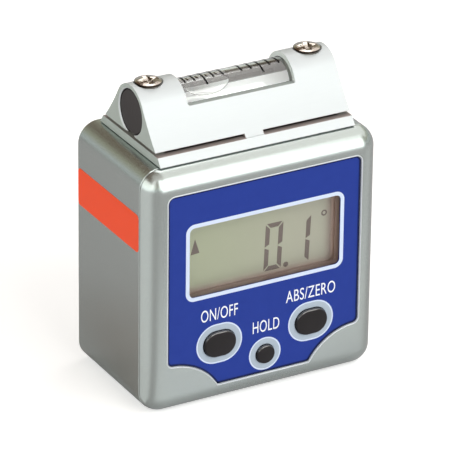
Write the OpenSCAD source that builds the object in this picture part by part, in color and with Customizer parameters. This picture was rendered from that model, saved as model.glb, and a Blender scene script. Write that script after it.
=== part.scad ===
// Digital spirit level: a pocket angle gauge box with a tubular spirit vial on top.
// Frame: X to the right seen from the front, Y to the rear, Z up, origin in the middle of the base.

/* [Case] */
// Width of the case
body_w = 57.2; // [55:0.1:62]
// Height of the case
body_h = 57.5; // [52:0.5:62]
// Depth of the case, front to rear
body_d = 32.8; // [31:0.2:38]
// Radius of the upright corners and of the front edge
edge_r = 4.7; // [3.8:0.1:5.2]
// Distance of the parting groove behind the front
seam_depth = 3.9; // [3.4:0.1:4]
// Width of the parting groove
seam_w = 0.25; // [0.15:0.05:0.4]
// Depth of the parting groove
seam_d = 0.2; // [0.1:0.05:0.3]
// Bevel of the rear edge
rear_bevel = 0.4; // [0.3:0.1:0.7]
// Thickness of the left and right walls
side_wall = 2.2; // [1.8:0.1:2.6]
// Thickness of the front wall at the rim
front_wall = 2.4; // [2.1:0.1:3]
// Thickness of the top wall
top_wall = 3; // [2.6:0.1:4]
// Thickness of the base, which holds the magnets
base_wall = 4; // [3.6:0.1:5]
// Thickness of the rear cover
cover_t = 2; // [1.8:0.1:2.6]
// Width of the case rim left standing round the rear cover
cover_rim = 1.2; // [0.8:0.1:1.5]
// Depth of the rear cover below the rear rim
cover_inset = 0.2; // [0.1:0.1:0.6]

/* [Face label] */
// Width of the bare rim to the left and right of the label
label_side = 5.1; // [4.4:0.1:6]
// Height of the bare rim above the label
label_top = 5.7; // [5:0.1:6.4]
// Height of the label's lower edge above the base
label_bottom = 4.9; // [4:0.1:5.5]
// Thickness of the label
label_t = 0.3; // [0.2:0.05:0.5]
// Depth of the label below the front rim
label_inset = 0.4; // [0.2:0.05:0.7]
// Gap round the label in its recess
label_gap = 0.22; // [0.1:0.02:0.3]
// Radius of the label's upper corners
label_corner_r = 1.5; // [0.5:0.1:3]
// Radius of the label's tips beside the cut-outs
label_tip_r = 1.1; // [0.5:0.1:2]
// Radius of the round cut-outs at the label's lower corners
label_cut_r = 14.3; // [12:0.1:15]
// Drop of the cut-outs' centres below the base
label_cut_drop = 2.5; // [1:0.1:5]

/* [Display] */
// Width of the display window
window_w = 37.2; // [34:0.2:38]
// Height of the display window
window_h = 16.6; // [14:0.2:18]
// Sideways place of the window's centre
window_x = 0.2; // [-1:0.1:1]
// Height of the window's centre above the middle of the case
window_rise = 6.45; // [6.2:0.05:6.8]
// Radius of the window's corners
window_corner_r = 1.2; // [0.5:0.1:2]
// Thickness of the collar that lines the window
collar_wall = 0.8; // [0.6:0.1:1.2]
// Thickness of the clear pane
pane_t = 0.8; // [0.6:0.1:1.2]
// Thickness of each glass of the display
glass_t = 1.1; // [0.7:0.1:1.3]
// Margin of the display glass round the window
glass_margin = 1.5; // [1.2:0.1:2]
// Height of the contact ledge under the display
glass_ledge = 3.4; // [2.8:0.1:3.6]
// Thickness of the foam pad behind the display
pad_t = 1.6; // [1.2:0.1:2.2]

/* [Buttons] */
// Width of the two oval buttons
oval_w = 7.8; // [7:0.1:9]
// Height of the two oval buttons
oval_h = 6; // [5:0.1:7]
// Diameter of the round button
round_d = 4.4; // [4:0.1:5.5]
// Sideways place of the middle of the button group
button_x = 0.5; // [-1:0.1:1]
// Distance of the oval buttons from the middle of the group
oval_offset = 11.4; // [10.5:0.1:12]
// Height of the oval buttons above the base
oval_z = 14.5; // [14:0.1:15]
// Height of the round button above the base
round_z = 9.2; // [8.6:0.1:9.6]
// Height that a button stands above the label
button_proud = 1; // [0.6:0.1:1.2]
// Width of the bevel round a button's top
button_bevel = 0.35; // [0.2:0.05:0.6]
// Travel of a button
button_travel = 0.5; // [0.3:0.05:0.6]

/* [Vial bracket] */
// Length of the bracket
bracket_l = 47.7; // [46:0.1:50]
// Depth of the bracket's foot, front to rear
bracket_d = 27.6; // [26:0.1:29]
// Place of the bracket's middle plane behind the middle of the case
bracket_y = 0.9; // [0:0.1:1.2]
// Height of the vial bore above the case top
bore_rise = 7.8; // [7.4:0.1:8.6]
// Diameter of the vial bore
bore_d = 10.3; // [9.8:0.1:10.6]
// Thickness of the crest over the bore
crest_wall = 1.15; // [0.9:0.05:1.6]
// Radius of the hollow flanks
flank_r = 60; // [40:1:120]
// Height of the shadow gap under the foot's edge
foot_gap = 0.2; // [0.1:0.05:0.3]
// Distance of the pad under the foot from the foot's edge
foot_step = 0.6; // [0.5:0.1:1.2]
// Chamfer at the ends of the vial bore
bore_chamfer = 0.3; // [0.2:0.05:0.4]
// Thickness of the foot strip under the slits
strip_t = 2.05; // [1.6:0.05:2.4]
// Depth of the foot strip's top, front to rear
strip_top = 24.9; // [24.4:0.1:25.6]
// Height of the slits
slit_h = 0.7; // [0.4:0.05:1]
// Width of the web left between the slits
web_w = 4.6; // [3:0.1:8]
// Length of the viewing notch
notch_l = 26.4; // [24:0.1:28]
// Height of the notch floor above the bore's axis
notch_rise = 1.7; // [0.5:0.1:2.5]
// Radius of the notch's lower corners
notch_corner_r = 0.5; // [0.3:0.1:1]
// Distance of each adjusting screw from its end of the bracket
screw_end = 4.35; // [4.3:0.05:5]
// Height that a screw head's crown stands above the crest
head_proud = 0.65; // [0.4:0.05:0.8]
// Thickness of the end plugs
plug_t = 0.9; // [0.6:0.1:1]

/* [Vial] */
// Gap between the vial's ends and the adjusting screws
vial_clear = 1.2; // [1:0.1:2.5]
// Diameter of the hollow in the vial
vial_bore_d = 7.2; // [6:0.1:7.6]
// Thickness of the vial's closed end and of its seal
vial_end_t = 1.5; // [1:0.1:2]
// Length of the bubble
bubble_l = 11.6; // [9:0.1:13]
// Depth of the bubble below the top of the hollow
bubble_depth = 1.5; // [1:0.1:2]
// Place of the bubble's middle as the level stands
bubble_x = -6.2; // [-7:0.1:0]

/* [Electronics] */
// Thickness of the circuit board
board_t = 1.6; // [1:0.1:2]
// Width and height of a push switch
switch_w = 6; // [5:0.1:6.2]
// Height of a push switch on the board
switch_h = 2.5; // [2:0.1:2.8]
// Diameter of a switch plunger
plunger_d = 3.2; // [2.5:0.1:3.5]
// Width and height of the tilt sensor
sensor_w = 5; // [3:0.1:6]
// Width and height of the processor
processor_w = 8; // [6:0.1:9]
// Thickness of the chips
chip_t = 1.2; // [0.8:0.1:1.8]

/* [Battery] */
// Diameter of the coin cell
cell_d = 20; // [19.5:0.1:20.5]
// Thickness of the coin cell
cell_t = 3.2; // [2.5:0.1:3.6]
// Height of the battery's middle above the base
battery_z = 29; // [27:0.1:30]
// Width and height of the battery tray
tray_w = 28; // [27:0.1:30]
// Thickness of the tray's walls and floor
tray_wall = 1.6; // [1:0.1:1.8]
// Diameter of the battery door
door_d = 24; // [23.4:0.1:24.6]
// Thickness of the door's rim
door_t = 1; // [0.8:0.1:1.2]
// Angle by which the door turns to unlock
door_turn = 45; // [42:1:60]
// Angle that each door lug covers
lug_angle = 36; // [25:1:38]
// Thickness of the sheet metal contacts
contact_t = 0.3; // [0.2:0.05:0.4]

/* [Screws and magnets] */
// Shank diameter of the adjusting screws
adjust_d = 3; // [2.5:0.1:3.2]
// Head diameter of the adjusting screws
adjust_head_d = 6.3; // [5.6:0.1:6.6]
// Length of an adjusting screw in the case
adjust_grip = 6; // [5:0.1:7]
// Shank diameter of the small screws
small_d = 2.2; // [1.8:0.1:2.4]
// Head diameter of the small screws
small_head_d = 4.2; // [3.6:0.1:4.4]
// Length of a rear cover screw's shank
cover_screw_l = 9; // [6:0.5:12]
// Diameter of a base magnet
magnet_d = 8; // [6:0.1:9]
// Thickness of a base magnet
magnet_t = 2.8; // [2:0.1:2.9]

/* [Fits] */
// Gap round a fixed piece in its seat
fit = 0.1; // [0.05:0.01:0.15]
// Gap round a screw shank, plug or moving pin
slip = 0.05; // [0.03:0.01:0.08]
// Gap round a button in the front wall
button_gap = 0.15; // [0.1:0.01:0.2]

/* [Hidden] */
$fn = 72;
over = 1;
// Planes from front to rear
front_y = -body_d / 2;
rear_y = body_d / 2;
label_front = front_y + label_inset;
label_back = label_front + label_t;
wall_back = front_y + front_wall;
pane_seat = 0.2;
pane_front = wall_back + pane_seat;
glass_front = pane_front + pane_t;
glass_mid = glass_front + glass_t;
glass_back = glass_mid + glass_t;
board_front = glass_back + pad_t;
board_back = board_front + board_t;
cover_back = rear_y - cover_inset;
cover_front = cover_back - cover_t;
ledge_back = cover_back - door_t;
hub_depth = 1.1;
hub_front = cover_front - hub_depth;
cell_gap = 0.4;
cell_back = hub_front - cell_gap;
cell_front = cell_back - cell_t;
pocket_floor = cell_front - contact_t;
// Inside of the case
cavity_x = body_w / 2 - side_wall;
cavity_low = base_wall;
cavity_top = body_h - top_wall;
cavity_r = edge_r - side_wall;
post_r = 2.8;
post_sink = 0.4;
post_x = cavity_x - post_r + post_sink;
post_z = [cavity_low + post_r - post_sink, cavity_top - post_r + post_sink];
board_post_r = 2.1;
// Board outline: full width between the corner posts, a narrower tongue above and below
board_gap = 0.6;
board_w = 2 * (cavity_x - board_gap);
tongue_w = 2 * (post_x - post_r - board_gap);
board_low = cavity_low + board_gap;
board_top = cavity_top - board_gap;
board_screw_inset = 2.5;
board_screw_rise = 4;
board_screws_at = [
    for (side = [-1, 1]) [side * (tongue_w / 2 - board_screw_inset), board_top - board_screw_inset],
    for (side = [-1, 1]) [side * (board_w / 2 - board_screw_inset), post_z[0] + post_r + board_screw_rise]
];
// Label and display
label_w = body_w - 2 * label_side;
label_h = body_h - label_bottom - label_top;
window_z = body_h / 2 + window_rise;
glass_w = window_w + 2 * glass_margin;
glass_h = window_h + 2 * glass_margin;
bezel_rim = 1.2;
bezel_low = window_z - glass_h / 2 - glass_ledge - bezel_rim;
// Buttons: name order is left oval, round, right oval, each [x, z, width, height]
left_oval = [button_x - oval_offset, oval_z, oval_w, oval_h];
middle_round = [button_x, round_z, round_d, round_d];
right_oval = [button_x + oval_offset, oval_z, oval_w, oval_h];
buttons = [left_oval, middle_round, right_oval];
button_front = label_front - button_proud;
flange_front = wall_back + slip;
flange_t = 1;
flange_rim = 0.9;
flange_back = flange_front + flange_t;
plunger_back = board_front - button_travel - slip;
// Vial bracket, in its own section plane: y from the bracket's middle, z from the case top
bore_r = bore_d / 2;
bore_z = body_h + bore_rise;
crest_r = bore_r + crest_wall;
crest_top = bore_z + crest_r;
foot_half = bracket_d / 2;
// A flank arc starts at the foot's edge and runs into the crest
crest_bite = 0.02;
foot_rise = bore_rise - foot_gap;
foot_to_bore = sqrt(foot_half * foot_half + foot_rise * foot_rise);
flank_reach = crest_r - crest_bite + flank_r;
flank_cos = (foot_to_bore * foot_to_bore + flank_reach * flank_reach - flank_r * flank_r)
    / (2 * foot_to_bore * flank_reach);
flank_angle = acos(flank_cos) - atan2(foot_rise, foot_half);
flank_centre = [flank_reach * cos(flank_angle), bore_rise + flank_reach * sin(flank_angle)];
crest_touch = [crest_r * cos(flank_angle), bore_rise + crest_r * sin(flank_angle)];
screw_x = bracket_l / 2 - screw_end;
boss_r = 3.2;
boss_floor = 1.5;
boss_low = body_h - adjust_grip - boss_floor;
head_h = 0.8;
head_rim_h = 0.35;
head_bevel = 0.9;
crown_z = crest_top + head_proud;
head_rim_z = crown_z - head_h;
head_cone_h = (adjust_head_d - adjust_d) / 2;
recess_l = 4.6;
recess_w = 0.9;
plug_inset = 0.3;
// Vial
vial_r = bore_r - fit;
vial_l = 2 * (screw_x - adjust_d / 2 - vial_clear);
hollow_r = vial_bore_d / 2;
hollow_l = vial_l - 2 * vial_end_t;
bubble_floor = hollow_r - bubble_depth;
bubble_half_w = sqrt(hollow_r * hollow_r - bubble_floor * bubble_floor) - slip;
// Battery
cell_r = cell_d / 2;
cell_play = 0.3;
pocket_r = cell_r + cell_play;
cell_cap_h = 0.6;
cell_cap_r = cell_r - 1.3;
door_r = door_d / 2;
hub_margin = 0.8;
hub_r = cell_r + hub_margin;
ledge_r = hub_r + fit;
lug_r = door_r - fit;
lug_play = 4;
tray_corner_r = 3;
slot_w = 1.8;
slot_l = 14;
slot_depth = 0.8;
contact_w = 4;
leg_drop = 6;
leg_z = battery_z - leg_drop;
leg_w = 3;
// Screws and magnets
small_head_h = 1.1;
small_head_rim = 0.65;
small_head_bevel = 0.6;
small_cross_l = 2.3;
small_cross_w = 0.6;
board_screw_l = 4;
magnet_recess = 0.1;
magnet_edge_x = 12.7;
magnet_edge_y = 9.7;
magnet_x = body_w / 2 - magnet_edge_x;
magnet_y = body_d / 2 - magnet_edge_y;

// Shapes that repeat

// A flat outline drawn in X and Z, made solid from the plane y towards the rear
module face_extrude(y, depth) {
    translate([0, y + depth, 0]) rotate([90, 0, 0]) linear_extrude(depth) children();
}

// Places what is drawn along Z so that it runs to the rear from the point x, y, z
module to_rear(x, y, z) {
    translate([x, y, z]) rotate([-90, 0, 0]) children();
}

// Places what is drawn along Z so that it runs to the right from the point x, y, z
module to_right(x, y, z) {
    translate([x, y, z]) rotate([0, 90, 0]) children();
}

// A rectangle round its centre with round corners
module rounded_rect(w, h, r) {
    square([w - 2 * r, h], center = true);
    square([w, h - 2 * r], center = true);
    for (x = [-1, 1], z = [-1, 1])
        translate([x * (w / 2 - r), z * (h / 2 - r)]) circle(r);
}

// A rectangle with round ends to left and right, or a circle
module obround(w, h) {
    if (w > h) square([w - h, h], center = true);
    for (x = [-1, 1]) translate([x * (w - h) / 2, 0]) circle(h / 2);
}

// Section of the case wall outside the corner axes: a rounded front edge, a parting groove with a
// sloping rear side, and a straight run to a bevelled rear edge
module case_edge() {
    groove_r = edge_r - seam_d;
    groove_back = seam_depth + seam_w;
    intersection() {
        translate([0, edge_r]) circle(edge_r);
        square([edge_r, seam_depth]);
    }
    polygon([
        [0, seam_depth], [groove_r, seam_depth], [groove_r, groove_back], [edge_r, groove_back + seam_d],
        [edge_r, body_d - rear_bevel], [edge_r - rear_bevel, body_d], [0, body_d]
    ]);
}

// The case as a solid block: the edge section turned round each corner and drawn along each side
module case_block() {
    inner_w = body_w - 2 * edge_r;
    inner_h = body_h - 2 * edge_r;
    face_extrude(front_y, body_d) translate([0, body_h / 2]) square([inner_w, inner_h], center = true);
    for (side = [0, 1]) mirror([side, 0, 0]) {
        translate([inner_w / 2, front_y, edge_r]) linear_extrude(inner_h) case_edge();
        to_rear(inner_w / 2, front_y, edge_r) rotate_extrude(angle = 90) case_edge();
        to_rear(inner_w / 2, front_y, body_h - edge_r) rotate([0, 0, -90])
            rotate_extrude(angle = 90) case_edge();
    }
    translate([inner_w / 2, front_y, body_h - edge_r]) rotate([0, -90, 0])
        linear_extrude(inner_w) case_edge();
    translate([-inner_w / 2, front_y, edge_r]) rotate([0, 90, 0])
        linear_extrude(inner_w) case_edge();
}

// What rounds off the label's right-hand tip: the corner outside an arc that touches side and bite
module label_tip(margin) {
    tip_r = label_tip_r + margin;
    tip_reach = label_cut_r + label_tip_r;
    tip_x = label_w / 2 - label_tip_r;
    tip_rise = sqrt(tip_reach * tip_reach - label_tip_r * label_tip_r);
    tip_z = tip_rise - label_cut_drop;
    difference() {
        polygon([
            [tip_x, tip_z],
            [tip_x + tip_r * label_tip_r / tip_reach, tip_z - tip_r * tip_rise / tip_reach],
            [label_w / 2 + over, tip_z - 2 * tip_r], [label_w / 2 + over, tip_z]
        ]);
        translate([tip_x, tip_z]) circle(tip_r);
    }
}

// The label's outline, grown by a margin: a plate with round bites out of its lower corners
module label_outline(margin) {
    difference() {
        translate([0, label_bottom + label_h / 2])
            rounded_rect(label_w + 2 * margin, label_h + 2 * margin, label_corner_r);
        for (side = [0, 1]) mirror([side, 0]) {
            translate([label_w / 2, -label_cut_drop]) circle(label_cut_r - margin);
            label_tip(margin);
        }
    }
}

// A button's outline in the face, grown by a margin
module button_outline(b, margin) {
    translate([b[0], b[1]]) obround(b[2] + 2 * margin, b[3] + 2 * margin);
}

// A button: a bevelled cap that comes through the front wall and a flange that keeps it in
module button(b) {
    cap_r = b[3] / 2;
    straight = b[2] - b[3];
    bevel_back = button_front + button_bevel;
    face_extrude(bevel_back, flange_front - bevel_back) button_outline(b, 0);
    face_extrude(flange_front, flange_t) button_outline(b, flange_rim);
    for (side = [-1, 1])
        to_rear(b[0] + side * straight / 2, button_front, b[1])
            cylinder(r1 = cap_r - button_bevel, r2 = cap_r, h = button_bevel);
    if (straight > 0)
        translate([b[0] - straight / 2, button_front, b[1]]) rotate([90, 0, 90])
            linear_extrude(straight) polygon([
                [0, button_bevel - cap_r], [0, cap_r - button_bevel],
                [button_bevel, cap_r], [button_bevel, -cap_r]
            ]);
}

// The switch plunger that a button presses
module plunger(b) {
    to_rear(b[0], flange_back, b[1]) cylinder(d = plunger_d, h = plunger_back - flange_back);
}

// A small pan-head screw with a cross recess, drawn with its head's seat at z = 0 and its shank below
module small_screw(shank_l) {
    difference() {
        union() {
            translate([0, 0, -shank_l]) cylinder(d = small_d, h = shank_l + small_head_rim);
            cylinder(d = small_head_d, h = small_head_rim);
            translate([0, 0, small_head_rim])
                cylinder(d1 = small_head_d, d2 = small_head_d - 2 * small_head_bevel,
                    h = small_head_h - small_head_rim);
        }
        for (turn = [0, 90]) rotate([0, 0, turn])
            translate([0, 0, small_head_h])
                cube([small_cross_l, small_cross_w, small_head_h], center = true);
    }
}

// A ring sector round Z, between two radii, from z = 0 up
module ring_sector(r_in, r_out, h, middle, angle) {
    rotate([0, 0, middle - angle / 2]) rotate_extrude(angle = angle)
        translate([r_in, 0]) square([r_out - r_in, h]);
}

// Case

module front_housing() color([0.66, 0.67, 0.67]) difference() {
    union() {
        difference() {
            case_block();
            face_extrude(wall_back, body_d) translate([0, (cavity_low + cavity_top) / 2])
                rounded_rect(2 * cavity_x, cavity_top - cavity_low, cavity_r);
        }
        for (side = [-1, 1], z = post_z)
            to_rear(side * post_x, wall_back - post_sink, z)
                cylinder(r = post_r, h = cover_front - wall_back + post_sink);
        for (at = board_screws_at)
            to_rear(at[0], wall_back - post_sink, at[1])
                cylinder(r = board_post_r, h = board_front - wall_back + post_sink);
        for (side = [-1, 1])
            translate([side * screw_x, bracket_y, boss_low])
                cylinder(r = boss_r, h = cavity_top + post_sink - boss_low);
    }
    face_extrude(cover_front, body_d) translate([0, body_h / 2])
        rounded_rect(body_w - 2 * cover_rim, body_h - 2 * cover_rim, edge_r - cover_rim);
    face_extrude(front_y - over, label_back - front_y + over) label_outline(label_gap);
    face_extrude(front_y - over, front_wall + 2 * over) translate([window_x, window_z])
        rounded_rect(window_w + 2 * (collar_wall + fit), window_h + 2 * (collar_wall + fit),
            window_corner_r + collar_wall + fit);
    face_extrude(front_y - over, front_wall + 2 * over)
        for (b = buttons) button_outline(b, button_gap);
    for (side = [-1, 1], z = post_z)
        to_rear(side * post_x, cover_front - cover_screw_l, z)
            cylinder(d = small_d + 2 * slip, h = cover_screw_l + over);
    for (at = board_screws_at)
        to_rear(at[0], board_back - board_screw_l - slip, at[1])
            cylinder(d = small_d + 2 * slip, h = board_screw_l);
    for (side = [-1, 1])
        translate([side * screw_x, bracket_y, body_h - adjust_grip - slip])
            cylinder(d = adjust_d + 2 * slip, h = adjust_grip + over);
    for (x = [-1, 1], y = [-1, 1])
        translate([x * magnet_x, y * magnet_y, -over])
            cylinder(d = magnet_d + 2 * slip, h = magnet_recess + magnet_t + over);
}

module rear_cover() color([0.6, 0.61, 0.61]) {
    outline_w = body_w - 2 * (cover_rim + fit);
    outline_h = body_h - 2 * (cover_rim + fit);
    notch_angle = lug_angle + lug_play;
    difference() {
        face_extrude(cover_front, cover_t) translate([0, body_h / 2])
            rounded_rect(outline_w, outline_h, edge_r - cover_rim - fit);
        to_rear(0, cover_front - over, battery_z) cylinder(r = ledge_r, h = cover_t + 2 * over);
        to_rear(0, ledge_back, battery_z) cylinder(r = door_r + fit, h = door_t + over);
        for (half = [0, 180])
            to_rear(0, cover_front - over, battery_z)
                ring_sector(hub_r, lug_r + slip, cover_t, half + door_turn, notch_angle);
        for (side = [-1, 1], z = post_z) {
            to_rear(side * post_x, cover_front - over, z)
                cylinder(d = small_d + 2 * fit, h = cover_t + 2 * over);
            to_rear(side * post_x, cover_back - small_head_h - slip, z)
                cylinder(d = small_head_d + 2 * fit, h = small_head_h + over);
        }
    }
}

module cover_screws() color([0.75, 0.73, 0.7])
    for (side = [-1, 1], z = post_z)
        to_rear(side * post_x, cover_back - small_head_h - slip, z)
            small_screw(cover_screw_l - slip);

module front_label() color([0.19, 0.26, 0.64])
    face_extrude(label_front, label_t) difference() {
        label_outline(0);
        translate([window_x, window_z]) rounded_rect(window_w, window_h, window_corner_r);
        for (b = buttons) button_outline(b, button_gap);
    }

module base_magnets() color([0.55, 0.55, 0.57])
    for (x = [-1, 1], y = [-1, 1])
        translate([x * magnet_x, y * magnet_y, magnet_recess]) cylinder(d = magnet_d, h = magnet_t);

// Display

module lcd_bezel() color([0.14, 0.13, 0.13]) {
    outer_w = glass_w + 2 * (fit + bezel_rim);
    outer_top = window_z + glass_h / 2 + fit + bezel_rim;
    outer_low = bezel_low - fit;
    glass_low = window_z - glass_h / 2 - glass_ledge;
    pane_w = window_w + glass_margin;
    pane_h = window_h + glass_margin;
    difference() {
        union() {
            face_extrude(label_back, wall_back - label_back + pane_seat) translate([window_x, window_z])
                rounded_rect(window_w + 2 * collar_wall, window_h + 2 * collar_wall,
                    window_corner_r + collar_wall);
            face_extrude(wall_back, board_front - wall_back)
                translate([window_x - outer_w / 2, outer_low]) square([outer_w, outer_top - outer_low]);
        }
        face_extrude(label_back - over, body_d / 2) translate([window_x, window_z])
            rounded_rect(window_w, window_h, window_corner_r);
        face_extrude(pane_front, body_d / 2) translate([window_x, window_z])
            square([pane_w + 2 * fit, pane_h + 2 * fit], center = true);
        face_extrude(glass_front, body_d / 2) translate([window_x - glass_w / 2 - fit, glass_low - fit])
            square([glass_w + 2 * fit, glass_h + glass_ledge + 2 * fit]);
    }
}

module display_window() color([0.85, 0.9, 0.92, 0.35])
    face_extrude(pane_front, pane_t) translate([window_x, window_z])
        square([window_w + glass_margin, window_h + glass_margin], center = true);

module lcd_panel() color([0.68, 0.7, 0.61]) {
    face_extrude(glass_front, glass_t)
        translate([window_x - glass_w / 2, window_z - glass_h / 2 - glass_ledge])
            square([glass_w, glass_h + glass_ledge]);
    face_extrude(glass_mid, glass_t) translate([window_x, window_z])
        square([glass_w, glass_h], center = true);
}

module lcd_foam_pad() color([0.9, 0.9, 0.88])
    face_extrude(glass_back, pad_t) translate([window_x, window_z])
        square([glass_w - 2 * glass_margin, glass_h - 2 * glass_margin], center = true);

module lcd_connector_strip() color([0.85, 0.55, 0.55])
    face_extrude(glass_mid, board_front - glass_mid)
        translate([window_x, window_z - glass_h / 2 - glass_ledge / 2])
            square([glass_w - 2 * glass_margin, glass_ledge - 4 * fit], center = true);

// Electronics

module main_board() color([0.1, 0.35, 0.2])
    difference() {
        face_extrude(board_front, board_t) union() {
            translate([-board_w / 2, post_z[0] + post_r + board_gap])
                square([board_w, post_z[1] - post_z[0] - 2 * (post_r + board_gap)]);
            translate([-tongue_w / 2, board_low]) square([tongue_w, board_top - board_low]);
        }
        for (at = board_screws_at)
            to_rear(at[0], board_front - over, at[1]) cylinder(d = small_d + 2 * fit, h = board_t + 2 * over);
    }

module board_screws() color([0.75, 0.73, 0.7])
    for (at = board_screws_at) to_rear(at[0], board_back, at[1]) small_screw(board_screw_l);

module push_switches() color([0.2, 0.2, 0.21])
    for (b = buttons) difference() {
        face_extrude(board_front - switch_h, switch_h)
            translate([b[0], b[1]]) square(switch_w, center = true);
        to_rear(b[0], board_front - switch_h - over, b[1])
            cylinder(d = plunger_d + 2 * slip, h = switch_h + 2 * over);
    }

module tilt_sensor() color([0.12, 0.12, 0.13])
    face_extrude(board_back, chip_t)
        translate([-(tray_w + board_w) / 4, battery_z]) square(sensor_w, center = true);

module processor_chip() color([0.1, 0.1, 0.11])
    face_extrude(board_back, chip_t)
        translate([(tray_w + board_w) / 4, battery_z]) square(processor_w, center = true);

// Battery

module battery_tray() color([0.22, 0.22, 0.23])
    difference() {
        face_extrude(board_back, cover_front - board_back) translate([0, battery_z])
            rounded_rect(tray_w, tray_w, tray_corner_r);
        face_extrude(board_back - over, pocket_floor - tray_wall - board_back + over)
            translate([0, battery_z])
                rounded_rect(tray_w - 2 * tray_wall, tray_w - 2 * tray_wall, tray_corner_r - tray_wall);
        to_rear(0, pocket_floor, battery_z) cylinder(r = pocket_r, h = body_d);
        to_rear(0, hub_front - slip, battery_z) cylinder(r = lug_r + fit, h = body_d);
        face_extrude(board_back, hub_front - slip - board_back)
            translate([0, battery_z + cell_r + contact_t / 2])
                square([contact_w + 2 * fit, contact_t + 4 * fit], center = true);
        face_extrude(board_back, pocket_floor - board_back + slip)
            translate([0, leg_z + contact_t / 2])
                square([leg_w + 2 * fit, contact_t + 2 * fit], center = true);
    }

module negative_contact() color([0.85, 0.8, 0.65]) {
    face_extrude(pocket_floor, contact_t) translate([-contact_w / 2, leg_z])
        square([contact_w, cell_r]);
    face_extrude(board_back, pocket_floor - board_back + contact_t)
        translate([-leg_w / 2, leg_z]) square([leg_w, contact_t]);
}

module positive_contact() color([0.85, 0.8, 0.65])
    face_extrude(board_back, cell_back - board_back)
        translate([-contact_w / 2, battery_z + cell_r + slip]) square([contact_w, contact_t]);

module coin_cell() color([0.8, 0.8, 0.8])
    to_rear(0, cell_front, battery_z) {
        cylinder(r = cell_cap_r, h = cell_t / 2);
        translate([0, 0, cell_cap_h]) cylinder(r = cell_r, h = cell_t - cell_cap_h);
    }

module battery_door() color([0.25, 0.25, 0.26])
    to_rear(0, hub_front, battery_z) difference() {
        union() {
            cylinder(r = hub_r, h = ledge_back - hub_front + door_t / 2);
            translate([0, 0, ledge_back - hub_front]) cylinder(r = door_r, h = door_t);
            for (half = [0, 180])
                ring_sector(hub_r - over, lug_r, hub_depth - slip, half, lug_angle);
        }
        translate([-slot_l / 2, -slot_w / 2, cover_back - hub_front - slot_depth])
            cube([slot_l, slot_w, slot_depth + over]);
    }

// Buttons

module on_off_button() color([0.2, 0.18, 0.18]) button(left_oval);

module on_off_plunger() color([0.6, 0.5, 0.35]) plunger(left_oval);

module hold_button() color([0.2, 0.18, 0.18]) button(middle_round);

module hold_plunger() color([0.6, 0.5, 0.35]) plunger(middle_round);

module abs_zero_button() color([0.2, 0.18, 0.18]) button(right_oval);

module abs_zero_plunger() color([0.6, 0.5, 0.35]) plunger(right_oval);

// Vial bracket and vial

// Bell section of the bracket above its pad: a foot strip with steeper sides, and two hollow flanks
// that run into a round crest
module bracket_section() {
    difference() {
        union() {
            difference() {
                union() {
                    polygon([
                        [-foot_half, foot_gap], [foot_half, foot_gap],
                        [crest_touch[0], crest_touch[1]], [-crest_touch[0], crest_touch[1]]
                    ]);
                    translate([0, bore_rise]) circle(crest_r);
                }
                for (side = [-1, 1])
                    translate([side * flank_centre[0], flank_centre[1]]) circle(flank_r, $fn = 360);
            }
            polygon([
                [-foot_half, foot_gap], [foot_half, foot_gap],
                [strip_top / 2, strip_t], [-strip_top / 2, strip_t]
            ]);
        }
        translate([0, bore_rise]) circle(bore_r);
    }
}

module vial_bracket() color([0.88, 0.89, 0.9]) {
    notch_top = 2 * crest_r;
    difference() {
        union() {
            translate([-bracket_l / 2, bracket_y, body_h]) rotate([90, 0, 90])
                linear_extrude(bracket_l) bracket_section();
            translate([foot_step - bracket_l / 2, bracket_y - foot_half + foot_step, body_h])
                cube([bracket_l - 2 * foot_step, bracket_d - 2 * foot_step, 2 * foot_gap]);
        }
        for (side = [0, 1]) mirror([side, 0, 0]) {
            translate([web_w / 2, bracket_y - bracket_d, body_h + strip_t])
                cube([bracket_l, 2 * bracket_d, slit_h]);
            to_right(bracket_l / 2 - bore_chamfer, bracket_y, bore_z)
                cylinder(r1 = bore_r, r2 = bore_r + bore_chamfer + over, h = bore_chamfer + over);
        }
        face_extrude(bracket_y - bracket_d, 2 * bracket_d)
            translate([0, bore_z + notch_rise + notch_top / 2])
                rounded_rect(notch_l, notch_top, notch_corner_r);
        for (side = [-1, 1]) translate([side * screw_x, bracket_y, 0]) {
            translate([0, 0, body_h - over]) cylinder(d = adjust_d + 2 * fit, h = crest_top - body_h);
            translate([0, 0, head_rim_z]) cylinder(d = adjust_head_d + 2 * fit, h = crest_r);
            translate([0, 0, head_rim_z - head_cone_h])
                cylinder(d1 = adjust_d + 2 * fit, d2 = adjust_head_d + 2 * fit, h = head_cone_h);
        }
    }
}

module adjusting_screws() color([0.72, 0.66, 0.56])
    for (side = [-1, 1]) translate([side * screw_x, bracket_y, 0]) difference() {
        dome_h = head_h - head_rim_h;
        union() {
            translate([0, 0, body_h - adjust_grip])
                cylinder(d = adjust_d, h = head_rim_z - body_h + adjust_grip);
            translate([0, 0, head_rim_z - head_cone_h])
                cylinder(d1 = adjust_d, d2 = adjust_head_d, h = head_cone_h);
            translate([0, 0, head_rim_z]) cylinder(d = adjust_head_d, h = head_rim_h);
            translate([0, 0, head_rim_z + head_rim_h])
                cylinder(d1 = adjust_head_d, d2 = adjust_head_d - 2 * head_bevel, h = dome_h);
        }
        for (turn = [0, 90]) translate([0, 0, crown_z]) rotate([0, 0, turn])
            cube([recess_l, recess_w, 2 * head_h], center = true);
    }

// A black disc that closes one end of the vial bore
module end_plug(side) {
    mirror([side < 0 ? 1 : 0, 0, 0])
        to_right(bracket_l / 2 - plug_inset - plug_t, bracket_y, bore_z)
            cylinder(r = bore_r - slip, h = plug_t);
}

module left_end_plug() color([0.2, 0.18, 0.18]) end_plug(-1);

module right_end_plug() color([0.2, 0.18, 0.18]) end_plug(1);

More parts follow.
